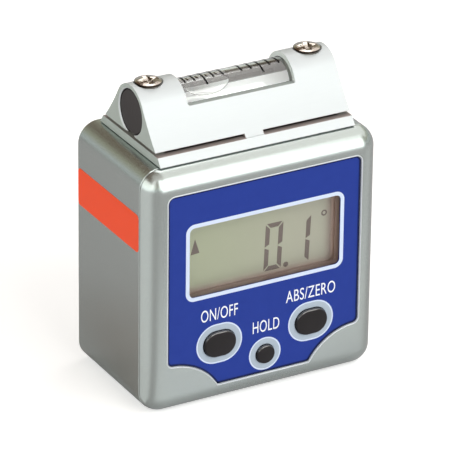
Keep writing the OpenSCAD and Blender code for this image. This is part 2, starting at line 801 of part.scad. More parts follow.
module vial_tube() color([0.9, 0.92, 0.92, 0.4])
    difference() {
        to_right(-vial_l / 2, bracket_y, bore_z) cylinder(r = vial_r, h = vial_l);
        to_right(-hollow_l / 2, bracket_y, bore_z) cylinder(r = hollow_r, h = vial_l);
    }

module vial_seal() color([0.9, 0.9, 0.88])
    to_right(hollow_l / 2, bracket_y, bore_z) cylinder(r = hollow_r - slip, h = vial_end_t);

// The liquid, with the bubble's whole run left open along its top
module vial_fluid() color([0.85, 0.9, 0.9, 0.3])
    difference() {
        to_right(-hollow_l / 2, bracket_y, bore_z) cylinder(r = hollow_r - slip / 2, h = hollow_l);
        translate([-vial_l, bracket_y - bore_d, bore_z + bubble_floor])
            cube([2 * vial_l, 2 * bore_d, bore_d]);
    }

// The bubble: the top slice of the hollow, round-ended in plan
module vial_bubble() color([0.95, 0.97, 0.97, 0.3])
    intersection() {
        to_right(-vial_l / 2, bracket_y, bore_z) cylinder(r = hollow_r - slip, h = vial_l);
        translate([bubble_x, bracket_y, bore_z + bubble_floor + slip])
            linear_extrude(bore_d) obround(bubble_l, 2 * bubble_half_w);
    }

front_housing();
rear_cover();
cover_screws();
front_label();
lcd_bezel();
display_window();
lcd_panel();
lcd_foam_pad();
lcd_connector_strip();
main_board();
board_screws();
push_switches();
tilt_sensor();
processor_chip();
battery_tray();
negative_contact();
positive_contact();
coin_cell();
battery_door();
base_magnets();
on_off_button();
on_off_plunger();
hold_button();
hold_plunger();
abs_zero_button();
abs_zero_plunger();
vial_bracket();
adjusting_screws();
left_end_plug();
right_end_plug();
vial_tube();
vial_seal();
vial_fluid();
vial_bubble();
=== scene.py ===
import math
import bmesh
import bpy
import numpy as np
from mathutils import Matrix, Vector


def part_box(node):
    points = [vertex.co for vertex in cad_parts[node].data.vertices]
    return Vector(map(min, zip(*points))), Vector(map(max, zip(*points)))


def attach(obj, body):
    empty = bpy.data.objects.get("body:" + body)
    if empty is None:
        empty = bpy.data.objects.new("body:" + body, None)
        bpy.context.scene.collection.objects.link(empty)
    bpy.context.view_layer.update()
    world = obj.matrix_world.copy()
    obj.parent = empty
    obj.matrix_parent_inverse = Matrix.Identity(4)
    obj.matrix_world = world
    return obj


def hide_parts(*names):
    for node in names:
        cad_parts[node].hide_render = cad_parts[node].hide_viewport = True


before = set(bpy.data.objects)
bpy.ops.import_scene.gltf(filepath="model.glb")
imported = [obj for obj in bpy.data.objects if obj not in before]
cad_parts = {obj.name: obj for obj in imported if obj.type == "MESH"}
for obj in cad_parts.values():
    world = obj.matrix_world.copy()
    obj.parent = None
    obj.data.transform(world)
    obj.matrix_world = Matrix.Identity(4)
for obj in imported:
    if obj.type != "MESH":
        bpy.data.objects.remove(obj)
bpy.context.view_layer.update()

# Camera
# A long lens a little to the left of the level and above it. Its place and its focal length were
# fitted to the case's corners in the photograph, whose frame is a square of 450 pixels.
MM = 0.001
AZIMUTH = math.radians(-29.253)
ELEVATION = math.radians(25.894)
ROLL = math.radians(0.667)
DISTANCE = 963.574 * MM
AIM = np.array((-0.968, -0.2, 33.843)) * MM
FOCAL_PIXELS = 4412.544
FRAME_PIXELS = 450
SENSOR_MM = 36.0


def in_scene(name, data):
    """A new object of that name and data, linked into the scene."""
    made = bpy.data.objects.new(name, data)
    bpy.context.scene.collection.objects.link(made)
    return made


back = np.array((
    math.sin(AZIMUTH) * math.cos(ELEVATION),
    -math.cos(AZIMUTH) * math.cos(ELEVATION),
    math.sin(ELEVATION),
))
level = np.cross(-back, (0.0, 0.0, 1.0))
level /= np.linalg.norm(level)
rise = np.cross(level, -back)
right = math.cos(ROLL) * level + math.sin(ROLL) * rise
up = math.cos(ROLL) * rise - math.sin(ROLL) * level

lens = bpy.data.cameras.new("camera")
lens.sensor_width = SENSOR_MM
lens.lens = FOCAL_PIXELS / FRAME_PIXELS * SENSOR_MM
lens.clip_start = 10 * MM
lens.clip_end = 20.0
camera = in_scene("camera", lens)
camera.matrix_world = Matrix.Translation(Vector(AIM + DISTANCE * back)) @ Matrix(
    np.column_stack((right, up, back)).tolist()
).to_4x4()
bpy.context.scene.camera = camera
bpy.context.scene.view_settings.view_transform = "Standard"


# Studio floor
# A white sheet under the level. It is lit like any surface and glows a little for the camera,
# so that it comes out white where nothing shades it and keeps the level's shadow. For the silver
# paint, which mirrors it, painted pools of light lie to the left and in front, and a painted warm shade
# behind.
def math_pair(kind):
    """The Math node of that kind as an operator, and the same with its two sides changed over."""
    def straight(self, other):
        return self.maths(kind, self, other)

    def reflected(self, other):
        return self.maths(kind, other, self)

    return straight, reflected


class Value:
    """One value in a set of nodes. Arithmetic with it adds Math nodes to the same set."""

    def __init__(self, finish, socket):
        self.finish = finish
        self.socket = socket

    def maths(self, kind, first, second):
        """The Math node of that kind on two values or numbers."""
        return self.finish.node("ShaderNodeMath", {"operation": kind}, {0: first, 1: second})

    __add__, __radd__ = math_pair("ADD")
    __sub__, __rsub__ = math_pair("SUBTRACT")
    __mul__, __rmul__ = math_pair("MULTIPLY")
    __truediv__, __rtruediv__ = math_pair("DIVIDE")
    __pow__, __rpow__ = math_pair("POWER")
    __gt__ = math_pair("GREATER_THAN")[0]
    __lt__ = math_pair("LESS_THAN")[0]

    def __abs__(self):
        return self.maths("ABSOLUTE", self, 0.0)


class Finish:
    """The nodes of a material or of the world."""

    def __init__(self, owner):
        owner.use_nodes = True
        self.owner = owner
        self.tree = owner.node_tree

    def fill(self, made, inputs):
        """Gives each named or numbered input of a node its value or its link."""
        for key, value in inputs.items():
            if isinstance(value, Value):
                self.tree.links.new(value.socket, made.inputs[key])
            else:
                made.inputs[key].default_value = value

    def node(self, kind, settings=None, inputs=None, output=0):
        """Adds a node of that kind, with its settings first and then its inputs, and gives one output."""
        made = self.tree.nodes.new(kind)
        for key, value in (settings or {}).items():
            setattr(made, key, value)
        self.fill(made, inputs or {})
        return Value(self, made.outputs[output])

    def shader(self, inputs):
        """Sets the sockets of the material's own Principled shader."""
        self.fill(self.tree.nodes["Principled BSDF"], inputs)

    def show(self, surface):
        """Makes that shader the one which the material or the world shows."""
        output = next(n for n in self.tree.nodes if n.type.startswith("OUTPUT"))
        self.tree.links.new(surface.socket, output.inputs["Surface"])

    def ray(self, kind):
        """1 for rays of that kind, such as Camera or Glossy, and 0 for others."""
        return self.node("ShaderNodeLightPath", output=f"Is {kind} Ray")

    def place(self):
        """The point on the object, in metres."""
        return self.node("ShaderNodeTexCoord", output="Object")

    def part(self, vector, axis):
        """One of a vector's three parts, X, Y or Z."""
        return self.node("ShaderNodeSeparateXYZ", inputs={0: vector}, output=axis)

    def facing(self, axis):
        """How far the surface faces along X, Y or Z, from -1 to 1."""
        return self.part(self.node("ShaderNodeNewGeometry", output="Normal"), axis)

    def blend(self, share, first, second):
        """A colour that goes from the first to the second as the share goes from 0 to 1."""
        inputs = {0: share, 6: first, 7: second}
        return self.node("ShaderNodeMix", {"data_type": "RGBA"}, inputs, output=2)

    def ramp(self, value, low, high):
        """A value that goes smoothly from 0 at low to 1 at high."""
        settings = {"interpolation_type": "SMOOTHSTEP"}
        return self.node("ShaderNodeMapRange", settings, {0: value, 1: low, 2: high})

    def grain(self, size, detail=2.0, stretch=(1.0, 1.0, 1.0)):
        """Soft noise whose cells are about that size, longer along an axis whose stretch is above 1."""
        scale = [1.0 / (size * s) for s in stretch]
        spot = self.node("ShaderNodeMapping", inputs={0: self.place(), 3: scale})
        return self.node("ShaderNodeTexNoise", inputs={"Vector": spot, "Scale": 1.0, "Detail": detail})

    def relief(self, height, depth):
        """The normal of a surface that the height, from 0 to 1, raises by that depth."""
        return self.node("ShaderNodeBump", inputs={"Distance": depth, "Height": height})


def material(name):
    """The nodes of a new material of that name."""
    return Finish(bpy.data.materials.new(name))


def ink(red, green, blue):
    """A screen colour of 0 to 255 as the linear colour that a shader takes."""
    share = np.array((red, green, blue)) / 255.0
    linear = np.where(share <= 0.04045, share / 12.92, ((share + 0.055) / 1.055) ** 2.4)
    return (*linear.tolist(), 1.0)


FLOOR_HALF = 3.0
FLOOR_DROP = 0.05 * MM
FLOOR_WHITE = ink(240, 240, 240)
FLOOR_GLOW = 0.5
MIRROR_WHITE = ink(213, 211, 215)
MIRROR_SHADE = ink(194, 185, 184)
FRONT_POOL = 0.45
FRONT_POOL_WAY = (0.5, -0.866)
FRONT_POOL_TURN = (0.45, 0.85)
FRONT_POOL_RISE = (-2 * MM, 7 * MM)
FRONT_POOL_FADE = (10 * MM, 110 * MM)
LEFT_POOL = 0.5
LEFT_POOL_WAY = (-0.996, 0.087)
LEFT_POOL_TURN = (0.6, 0.95)
SHADE_WAY = (-0.49, 0.872)
SHADE_TURN = (0.93, 0.98)
SHADE_FADE = (30 * MM, 75 * MM)
POOLS_FROM = (-28.6 * MM, -12.2 * MM)
CASE_FRONT_Y = -16.4 * MM

sheet_mesh = bpy.data.meshes.new("studio_floor")
sheet_corners = FLOOR_HALF * np.array(((-1, -1, 0), (1, -1, 0), (1, 1, 0), (-1, 1, 0)))
sheet_corners[:, 2] = -FLOOR_DROP
sheet_mesh.from_pydata(sheet_corners.tolist(), [], [(0, 1, 2, 3)])
floor = in_scene("studio_floor", sheet_mesh)

floor_paper = material("floor_paper")
camera_ray = floor_paper.ray("Camera")
glossy_ray = floor_paper.ray("Glossy")
clear_ray = floor_paper.ray("Transmission")
mirrored = 1 - (1 - glossy_ray) * (1 - clear_ray)
floor_spot = floor_paper.place()
away_x = floor_paper.part(floor_spot, 0) - POOLS_FROM[0]
away_y = floor_paper.part(floor_spot, 1) - POOLS_FROM[1]
away = (away_x * away_x + away_y * away_y) ** 0.5
ahead = CASE_FRONT_Y - floor_paper.part(floor_spot, 1)


def floor_sector(way, low, high):
    """A share that rises from 0 to 1 as the way out from the pools' corner turns towards that way."""
    return floor_paper.ramp((away_x * way[0] + away_y * way[1]) / away, low, high)


# Painted pools of light, and a painted shade behind the level, which show only in what is glossy
front_pool = floor_sector(FRONT_POOL_WAY, *FRONT_POOL_TURN) * floor_paper.ramp(ahead, *FRONT_POOL_RISE)
front_pool = front_pool * (1 - floor_paper.ramp(ahead, *FRONT_POOL_FADE))
mirror_glow = FRONT_POOL * front_pool + LEFT_POOL * floor_sector(LEFT_POOL_WAY, *LEFT_POOL_TURN)
shaded = floor_sector(SHADE_WAY, *SHADE_TURN) * (1 - floor_paper.ramp(away, *SHADE_FADE))
mirror_tone = floor_paper.blend(shaded, MIRROR_WHITE, MIRROR_SHADE)
sheet_white = floor_paper.blend(mirrored, FLOOR_WHITE, mirror_tone)
lit = floor_paper.node("ShaderNodeBsdfDiffuse", inputs={"Color": sheet_white})
shine = camera_ray * FLOOR_GLOW + mirrored * mirror_glow
glow = floor_paper.node("ShaderNodeEmission", inputs={"Strength": shine})
floor_paper.show(floor_paper.node("ShaderNodeAddShader", inputs={0: lit, 1: glow}))
sheet_mesh.materials.append(floor_paper.owner)

# Studio light
# A tall soft box in front on the right, another on the left and a dimmer one overhead on the right.
# White cards between and behind them only show in what is glossy. The room is white round the
# horizon and brown and dim overhead, and the metal mirrors that too.
ROOM_WHITE = ink(214, 218, 218)
ROOM_OLIVE = ink(192, 189, 163)
ROOM_BROWN = ink(124, 102, 84)
ROOM_LIGHT = 0.62
OLIVE_FROM = (0.15, 0.42)
BROWN_FROM = (0.44, 0.58)
LAMP_AWAY = 1.2

room = Finish(bpy.data.worlds.new("studio_room"))
bpy.context.scene.world = room.owner
height = room.part(room.node("ShaderNodeTexCoord", output="Generated"), 2)
low_wall = room.blend(room.ramp(height, *OLIVE_FROM), ROOM_WHITE, ROOM_OLIVE)
room_colour = room.blend(room.ramp(height, *BROWN_FROM), low_wall, ROOM_BROWN)
camera_ray = room.ray("Camera")
glossy_ray = room.ray("Glossy")
clear_ray = room.ray("Transmission")
unseen = (1 - camera_ray) * (1 - glossy_ray) * (1 - clear_ray)
room_strength = 1 - unseen * (1 - ROOM_LIGHT)
room.show(room.node("ShaderNodeBackground", inputs={"Color": room_colour, "Strength": room_strength}))


def soft_box(name, azimuth, elevation, width, tall, radiance, lights=True):
    """A lamp of that width and height in metres, turned towards the level from that direction in degrees.
    One that doesn't light is a card, which only shows in what is glossy."""
    turn, lift = math.radians(azimuth), math.radians(elevation)
    towards = np.array((math.sin(turn) * math.cos(lift), -math.cos(turn) * math.cos(lift), math.sin(lift)))
    lamp = bpy.data.lights.new(name, "AREA")
    lamp.shape = "RECTANGLE"
    lamp.size = width
    lamp.size_y = tall
    lamp.energy = radiance * math.pi * width * tall
    holder = in_scene(name, lamp)
    holder.location = AIM + LAMP_AWAY * towards
    holder.rotation_euler = Vector(-towards).to_track_quat("-Z", "Y").to_euler()
    holder.visible_diffuse = lights


soft_box("key_box", 17.0, 29.0, 1.0, 1.34, 2.9)
soft_box("side_box", -92.0, 20.0, 1.4, 0.85, 1.7)
soft_box("top_box", 98.6, 52.6, 1.35, 1.0, 1.4)
soft_box("side_card", -53.0, 30.0, 0.36, 1.2, 1.7, lights=False)
soft_box("key_card", -12.0, 36.0, 0.25, 1.1, 2.2, lights=False)
soft_box("roof_card", -35.0, 76.0, 1.0, 0.8, 0.65, lights=False)
soft_box("rear_card", 151.0, 60.0, 0.45, 0.35, 2.6, lights=False)


# Case
# The front housing is moulded in one piece and painted satin silver, with a rounded front edge
# and a sunk place for the label. The solid's own faces are kept, with their edges eased.
def eased_copy(node, name, easing, crisp=(0.0, 0.0)):
    """A node's mesh with its sharp edges rounded, save those whose middle lies in a crisp span of Y."""
    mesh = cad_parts[node].data.copy()
    mesh.name = name
    work = bmesh.new()
    work.from_mesh(mesh)
    bmesh.ops.remove_doubles(work, verts=work.verts, dist=WELD)
    bmesh.ops.dissolve_limit(work, angle_limit=FLAT_ANGLE, verts=work.verts, edges=work.edges)
    for face in work.faces:
        face.smooth = True
    rounding = work.edges.layers.float.new("bevel_weight_edge")
    for edge in work.edges:
        edge.smooth = edge.calc_face_angle(math.pi) < EASED_ANGLE
        middle = (edge.verts[0].co.y + edge.verts[1].co.y) / 2
        edge[rounding] = 0.0 if edge.smooth or crisp[0] < middle < crisp[1] else 1.0
    work.to_mesh(mesh)
    work.free()
    if "custom_normal" in mesh.attributes:
        mesh.attributes.remove(mesh.attributes["custom_normal"])
    mesh.materials.clear()
    piece = in_scene(name, mesh)
    bevel = piece.modifiers.new("eased_edges", "BEVEL")
    bevel.width = easing
    bevel.segments = 2
    bevel.limit_method = "WEIGHT"
    bevel.harden_normals = True
    return piece


def fit_piece(piece, finish, body, slot, *nodes):
    """Gives a piece its finish and its body, and puts it in the place of its nodes. The slot is not used.
    """
    piece.data.materials.append(finish.owner)
    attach(piece, body)
    if nodes:
        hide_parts(*nodes)


WELD = 0.001 * MM
FLAT_ANGLE = math.radians(0.2)
EASED_ANGLE = math.radians(32)
CASE_EASING = 0.2 * MM
CRISP_SPAN = (-15.6 * MM, 16.1 * MM)
SEAM_Y = (-12.52 * MM, -12.2 * MM)
SEAM_SHADE = ink(58, 58, 56)
CASE_LIGHT = ink(178, 187, 184)
CASE_DARK = ink(168, 177, 173)

silver_paint = material("silver_paint")
flakes = silver_paint.grain(0.09 * MM, detail=3.0)
clouds = silver_paint.grain(9 * MM)
# The bottom of the parting groove behind the front is painted dark and not metallic, as painted shade
depth_y = silver_paint.part(silver_paint.place(), 1)
in_seam = (depth_y > SEAM_Y[0]) * (depth_y < SEAM_Y[1])
sprayed = silver_paint.blend(flakes * 0.7 + clouds * 0.3, CASE_DARK, CASE_LIGHT)
silver_paint.shader({
    "Base Color": silver_paint.blend(in_seam, sprayed, SEAM_SHADE),
    "Metallic": 0.88 * (1 - in_seam),
    "Roughness": 0.2 + flakes * 0.12,
    "Coat Weight": 0.3,
    "Coat Roughness": 0.08,
    "Normal": silver_paint.relief(flakes, 0.004 * MM),
})
# Only the lip round the label and the rear edge are eased
shell = eased_copy("front_housing", "case_shell", CASE_EASING, CRISP_SPAN)
fit_piece(shell, silver_paint, "case", "case_silver", "front_housing")

# Rear cover and its screws
# A flat plate in the same paint, let into the back of the case and held by four pan-head screws.
# The screws are pressed from steel wire and plated.
COVER_EASING = 0.1 * MM
PAN_HEAD_EASING = 0.05 * MM
STEEL_LIGHT = ink(214, 208, 198)
STEEL_DARK = ink(176, 168, 156)


def speckled(name, size, dark, light, rough, metal=0.0, relief=0.0, detail=2.0, stretch=(1.0, 1.0, 1.0)):
    """A finish of one grain of that size, which goes from dark to light. Its roughness starts at the first
    of a pair and grows by the second, and the grain stands up by the relief."""
    finish = material(name)
    grain = finish.grain(size, detail, stretch)
    colour = finish.blend(grain, dark, light)
    finish.shader({"Base Color": colour, "Metallic": metal, "Roughness": rough[0] + grain * rough[1]})
    if relief:
        finish.shader({"Normal": finish.relief(grain, relief)})
    return finish


back_plate = eased_copy("rear_cover", "back_plate", COVER_EASING)
fit_piece(back_plate, silver_paint, "case", "cover_silver", "rear_cover")

steel_skin = (STEEL_DARK, STEEL_LIGHT, (0.22, 0.16))
plated_steel = speckled("plated_steel", 0.12 * MM, *steel_skin, metal=1.0, detail=4.0)
back_screws = eased_copy("cover_screws", "back_screws", PAN_HEAD_EASING)
fit_piece(back_screws, plated_steel, "case", "screw_steel", "cover_screws")

# Base magnets
# Four round magnets pressed into the base, plated with bright nickel.
# They hold the level to iron and steel.
MAGNET_EASING = 0.15 * MM
NICKEL_LIGHT = ink(206, 204, 198)
NICKEL_DARK = ink(178, 175, 168)

nickel_skin = (NICKEL_DARK, NICKEL_LIGHT, (0.16, 0.14))
bright_nickel = speckled("magnet_nickel", 1.2 * MM, *nickel_skin, metal=1.0, detail=5.0)
round_magnets = eased_copy("base_magnets", "round_magnets", MAGNET_EASING)
fit_piece(round_magnets, bright_nickel, "case", "magnet_nickel", "base_magnets")

# Inner pieces
# The board, switches, chips, battery and contacts fill the closed case and don't show.
# Each keeps its solid and gets the plain finish of its own stuff.
# The dark and the light of each, its metal, its roughness and the size of its speckle in millimetres
CONTACT = (ink(196, 182, 146), ink(220, 208, 172), 1.0, 0.3, 0.2)
PLUNGER = (ink(150, 126, 88), ink(170, 146, 106), 0.0, 0.5, 0.2)
INNER = {
    "main_board": (ink(22, 84, 52), ink(34, 104, 66), 0.0, 0.45, 0.8),
    "board_screws": (STEEL_DARK, STEEL_LIGHT, 1.0, 0.3, 0.2),
    "push_switches": (ink(38, 38, 40), ink(56, 56, 58), 0.0, 0.5, 0.3),
    "tilt_sensor": (ink(28, 28, 30), ink(40, 40, 42), 0.0, 0.55, 0.2),
    "processor_chip": (ink(24, 24, 26), ink(36, 36, 38), 0.0, 0.6, 0.2),
    "lcd_foam_pad": (ink(222, 222, 216), ink(240, 240, 236), 0.0, 0.9, 0.4),
    "lcd_connector_strip": (ink(206, 130, 136), ink(226, 152, 156), 0.0, 0.7, 0.3),
    "battery_tray": (ink(48, 48, 50), ink(62, 62, 64), 0.0, 0.5, 0.4),
    "negative_contact": CONTACT,
    "positive_contact": CONTACT,
    "coin_cell": (ink(190, 190, 190), ink(214, 214, 212), 1.0, 0.28, 0.15),
    "on_off_plunger": PLUNGER,
    "hold_plunger": PLUNGER,
    "abs_zero_plunger": PLUNGER,
    "vial_seal": (ink(216, 216, 208), ink(236, 236, 230), 0.0, 0.5, 0.3),
}


def dress(node, finish):
    """Gives a node that keeps its own solid its finish."""
    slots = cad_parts[node].data.materials
    slots.clear()
    slots.append(finish.owner)


for node, (dark, light, metal, rough, cell) in INNER.items():
    dress(node, speckled("inner_" + node, cell * MM, dark, light, (rough, 0.12), metal, detail=3.0))

# Battery door
# A round plastic cap with a coin slot. Two lugs on its hub lock behind the cover's ledge,
# and it is moulded in dark grey with a fine spark-eroded grain.
DOOR_EASING = 0.15 * MM
DOOR_DARK = ink(62, 62, 64)
DOOR_LIGHT = ink(78, 78, 80)

door_plastic = speckled(
    "door_plastic", 0.15 * MM, DOOR_DARK, DOOR_LIGHT, (0.42, 0.18), relief=0.015 * MM, detail=4.0
)
coin_slot_cap = eased_copy("battery_door", "coin_slot_cap", DOOR_EASING)
fit_piece(coin_slot_cap, door_plastic, "battery_cap", "door_plastic", "battery_door")

# Display
# Two sheets of glass with the liquid crystal between them over a satin reflector, set deep
# in a dark moulded collar behind a clear pane. The figures are the darkened crystal itself.
LCD_GREEN = ink(166, 174, 146)
LCD_GREY = ink(170, 170, 155)
LCD_HALF = 20 * MM
LCD_EDGE_SHADE = ink(178, 163, 153)
LCD_RIM_LIGHT = ink(226, 203, 189)
RIGHT_EDGE = (16.0 * MM, 19.2 * MM)
RIGHT_RIM = (18.0 * MM, 18.8 * MM)
LOW_EDGE = (26.3 * MM, 28.8 * MM)
LOW_RIM = (26.8 * MM, 27.1 * MM)
LOW_RIM_SHARE = 0.25
COLLAR_RIM_SHADE = ink(34, 27, 25)
COLLAR_RIM_W = 0.12 * MM
COLLAR_FRONT_SHADE = ink(96, 76, 71)
COLLAR_SILL_SHADE = ink(134, 115, 108)
COLLAR_SIDE_LIGHT = ink(174, 150, 140)
COLLAR_SILL = (0.3, 0.8)
FIGURE_BROWN = ink(106, 95, 88)
FIGURE_DEEP = ink(98, 87, 81)

reflector = material("display_glass")
satin = reflector.grain(0.12 * MM, detail=3.0)
glass_spot = reflector.place()
glass_x, glass_z = reflector.part(glass_spot, 0), reflector.part(glass_spot, 2)
across = reflector.ramp(glass_x, -LCD_HALF, LCD_HALF)
glass_skin = reflector.blend(across * 0.8 + satin * 0.2, LCD_GREEN, LCD_GREY)
# The reflector carries a painted warm shade along its right and lower edges, and a band of painted light
# right at the right edge, and faintly at the lower edge, that lifts the dark corner beside the collar
off_edge = (1 - reflector.ramp(glass_x, *RIGHT_EDGE)) * reflector.ramp(glass_z, *LOW_EDGE)
low_rim = LOW_RIM_SHARE * (1 - reflector.ramp(glass_z, *LOW_RIM))
off_rim = (1 - reflector.ramp(glass_x, *RIGHT_RIM)) * (1 - low_rim)
reflector.shader({
    "Base Color": reflector.blend(off_rim, LCD_RIM_LIGHT, reflector.blend(off_edge, LCD_EDGE_SHADE, glass_skin)),
    "Metallic": 0.35,
    "Roughness": 0.4 + satin * 0.1,
})
dress("lcd_panel", reflector)

collar = material("collar_plastic")
glass_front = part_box("lcd_panel")[0].y
collar_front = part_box("lcd_bezel")[0].y
collar_y = collar.part(collar.place(), 1)
# The collar's walls are painted with light and shade: a painted dark line along the front edge, painted
# shade behind it that grows paler towards the glass, and a darker painted shade on the upward-facing sill
inner_skin = collar.blend(collar.ramp(collar.facing(2), *COLLAR_SILL), COLLAR_SIDE_LIGHT, COLLAR_SILL_SHADE)
wall_skin = collar.blend(collar.ramp(collar_y, collar_front, glass_front), COLLAR_FRONT_SHADE, inner_skin)
at_rim = collar_y < collar_front + COLLAR_RIM_W
scuff = collar.grain(0.3 * MM)
collar.shader({
    "Base Color": collar.blend(at_rim, wall_skin, COLLAR_RIM_SHADE),
    "Roughness": 0.3 + scuff * 0.15,
})
dress("lcd_bezel", collar)


def grid_faces(rows, columns):
    """Four-sided faces between neighbours in a grid of points whose last column joins its first."""
    row = np.arange(rows - 1)[:, None]
    column = np.arange(columns)
    following = (column + 1) % columns
    corners = (
        row * columns + column,
        row * columns + following,
        (row + 1) * columns + following,
        (row + 1) * columns + column,
    )
    return np.stack(corners, axis=-1).reshape(-1, 4)


def surface_piece(name, points, faces, sharp=40.0):
    """An object of points and faces, merged at seams and poles, smooth up to a sharp angle in degrees."""
    mesh = bpy.data.meshes.new(name)
    mesh.from_pydata(np.asarray(points).reshape(-1, 3).tolist(), [], [list(f) for f in faces])
    work = bmesh.new()
    work.from_mesh(mesh)
    bmesh.ops.remove_doubles(work, verts=work.verts, dist=WELD / 2)
    bmesh.ops.recalc_face_normals(work, faces=work.faces)
    for face in work.faces:
        face.smooth = True
    for edge in work.edges:
        edge.smooth = edge.calc_face_angle(math.pi) < math.radians(sharp)
    work.to_mesh(mesh)
    work.free()
    return in_scene(name, mesh)


def plates(outlines, front, rear):
    """Points and faces of flat plates, each an outline in X and Z drawn from front to rear."""
    points, faces, used = [], [], 0
    for outline in outlines:
        outline = np.asarray(outline, float)
        count = len(outline)
        near = np.column_stack((outline[:, 0], np.full(count, front), outline[:, 1]))
        far = np.column_stack((outline[:, 0], np.full(count, rear), outline[:, 1]))
        ring = np.arange(count)
        following = (ring + 1) % count
        points.append(np.vstack((near, far)))
        faces.append((used + ring).tolist())
        faces.append((used + count + ring[::-1]).tolist())
        sides = np.column_stack((ring, ring + count, following + count, following))
        faces.extend((used + sides).tolist())
        used += 2 * count
    return np.vstack(points), faces


# Sizes of the figures on the glass, in millimetres
FIGURE_W = 4.35
FIGURE_H = 11.3
STROKE = 1.08
BREAK = 0.13
PITCH = 6.93
SLANT = 0.045
FIRST_FIGURE = (1.5, 27.5)
POINT_AT = (7.1, 28.05)
POINT_HALF = 0.62
DEGREE_AT = (16.5, 38.4)
DEGREE_R = 0.72
DEGREE_STROKE = 0.34
ARROW = ((-15.45, 39.2), (-16.5, 35.6), (-14.35, 35.75))
FIGURE_LIFT = 0.03


def strokes(letters):
    """The named strokes of a seven-stroke figure, in millimetres: each has four corners and mitred ends."""
    w, h, s, b, m = FIGURE_W, FIGURE_H, STROKE, BREAK, FIGURE_H / 2
    shape = {
        "a": ((2 * b, h), (w - 2 * b, h), (w - s - b, h - s), (s + b, h - s)),
        "d": ((2 * b, 0), (w - 2 * b, 0), (w - s - b, s), (s + b, s)),
        "f": ((0, h - 2 * b), (s, h - s - 2 * b), (s, m + s / 2 + b), (0, m + b)),
        "e": ((0, 2 * b), (s, s + 2 * b), (s, m - s / 2 - b), (0, m - b)),
        "b": ((w, h - 2 * b), (w - s, h - s - 2 * b), (w - s, m + b), (w, m + s / 2 + b)),
        "c": ((w, 2 * b), (w - s, s + 2 * b), (w - s, m - b), (w, m - s / 2 - b)),
    }
    return [np.array(shape[letter]) for letter in letters]


def placed(outline, left, low):
    """An outline in millimetres, slanted as the figures are and moved to its place, in metres."""
    slanted = outline + np.column_stack((SLANT * outline[:, 1], np.zeros(len(outline))))
    return (slanted + np.array((left, low))) * MM


turn = np.linspace(0, 2 * math.pi, 24, endpoint=False)
round_point = np.column_stack((np.cos(turn), np.sin(turn))) * POINT_HALF + np.array(POINT_AT)
figure_outlines = [placed(o, *FIRST_FIGURE) for o in strokes("abcdef")]
figure_outlines += [placed(o, FIRST_FIGURE[0] + PITCH, FIRST_FIGURE[1]) for o in strokes("bc")]
figure_outlines += [round_point * MM, np.array(ARROW) * MM]

crystal = speckled("dark_crystal", 0.2 * MM, FIGURE_DEEP, FIGURE_BROWN, (0.38, 0.1))
figure_front = glass_front - FIGURE_LIFT * MM
figures = surface_piece("lcd_figures", *plates(figure_outlines, figure_front, glass_front))
fit_piece(figures, crystal, "case", "display_glass")


def round_outline(centre, size, radius, steps=24):
    """Points and outward directions round a rectangle: a quarter circle at each corner in turn."""
    quarter = np.arange(4)[:, None]
    angle = (quarter + np.linspace(0, 1, steps)) * math.pi / 2
    outward = np.stack((np.cos(angle), np.sin(angle)), axis=-1)
    signs = np.array(((1, 1), (-1, 1), (-1, -1), (1, -1)))[:, None, :]
    corner = signs * (np.array(size) / 2 - radius)
    points = np.array(centre) + corner + radius * outward
    return points.reshape(-1, 2), outward.reshape(-1, 2)


def carried_profile(outline, outward, profile, closed):
    """A profile of insets and depths carried round an outline: each point moves in along its own way."""
    inset = np.array([p[0] for p in profile])[:, None, None]
    depth = np.array([p[1] for p in profile])[:, None]
    flat = outline - inset * outward
    points = np.stack((flat[..., 0], np.broadcast_to(depth, flat.shape[:2]), flat[..., 1]), axis=-1)
    rows, columns = points.shape[:2]
    if closed:
        points = np.concatenate((points, points[:1]))
        rows += 1
    return points, grid_faces(rows, columns)


def flat_ring(name, centre, size, radius, width, front, rear):
    """A flat line of that width round a rectangle with round corners, measured at its outer edge."""
    outline, outward = round_outline(centre, size, radius)
    profile = ((0, rear), (0, front), (width, front), (width, rear))
    return surface_piece(name, *carried_profile(outline, outward, profile, closed=True))


degree_at, degree_r = np.array(DEGREE_AT) * MM, DEGREE_R * MM
degree_size = (2 * degree_r, 2 * degree_r)
degree = flat_ring(
    "lcd_degree_sign", degree_at, degree_size, degree_r, DEGREE_STROKE * MM, figure_front, glass_front
)
fit_piece(degree, crystal, "case", "display_glass")

# Display pane
# A clear acrylic sheet behind the window. It is thin and flat, so it only adds its gloss
# to what lies under it.
PANE_REAR_GAP = 0.1 * MM
PANE_EASING = 0.02 * MM
PANE_R = 0.4 * MM
PANE_IOR = 1.42

pane_low, pane_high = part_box("display_window")
pane_middle = ((pane_low.x + pane_high.x) / 2, (pane_low.z + pane_high.z) / 2)
pane_size = (pane_high.x - pane_low.x, pane_high.z - pane_low.z)
pane_rear = pane_high.y - PANE_REAR_GAP
pane_outline, pane_outward = round_outline(pane_middle, pane_size, PANE_R, steps=8)

clear_sheet = material("clear_pane")
gloss = clear_sheet.node("ShaderNodeBsdfGlossy", inputs={"Color": (1, 1, 1, 1), "Roughness": 0.04})
clear = clear_sheet.node("ShaderNodeBsdfTransparent", inputs={"Color": (1, 1, 1, 1)})
facing = clear_sheet.node("ShaderNodeFresnel", inputs={"IOR": PANE_IOR})
inner_face = clear_sheet.node("ShaderNodeNewGeometry", output="Backfacing")
outer_gloss = facing * (1 - inner_face)
clear_sheet.show(clear_sheet.node("ShaderNodeMixShader", inputs={0: outer_gloss, 1: clear, 2: gloss}))


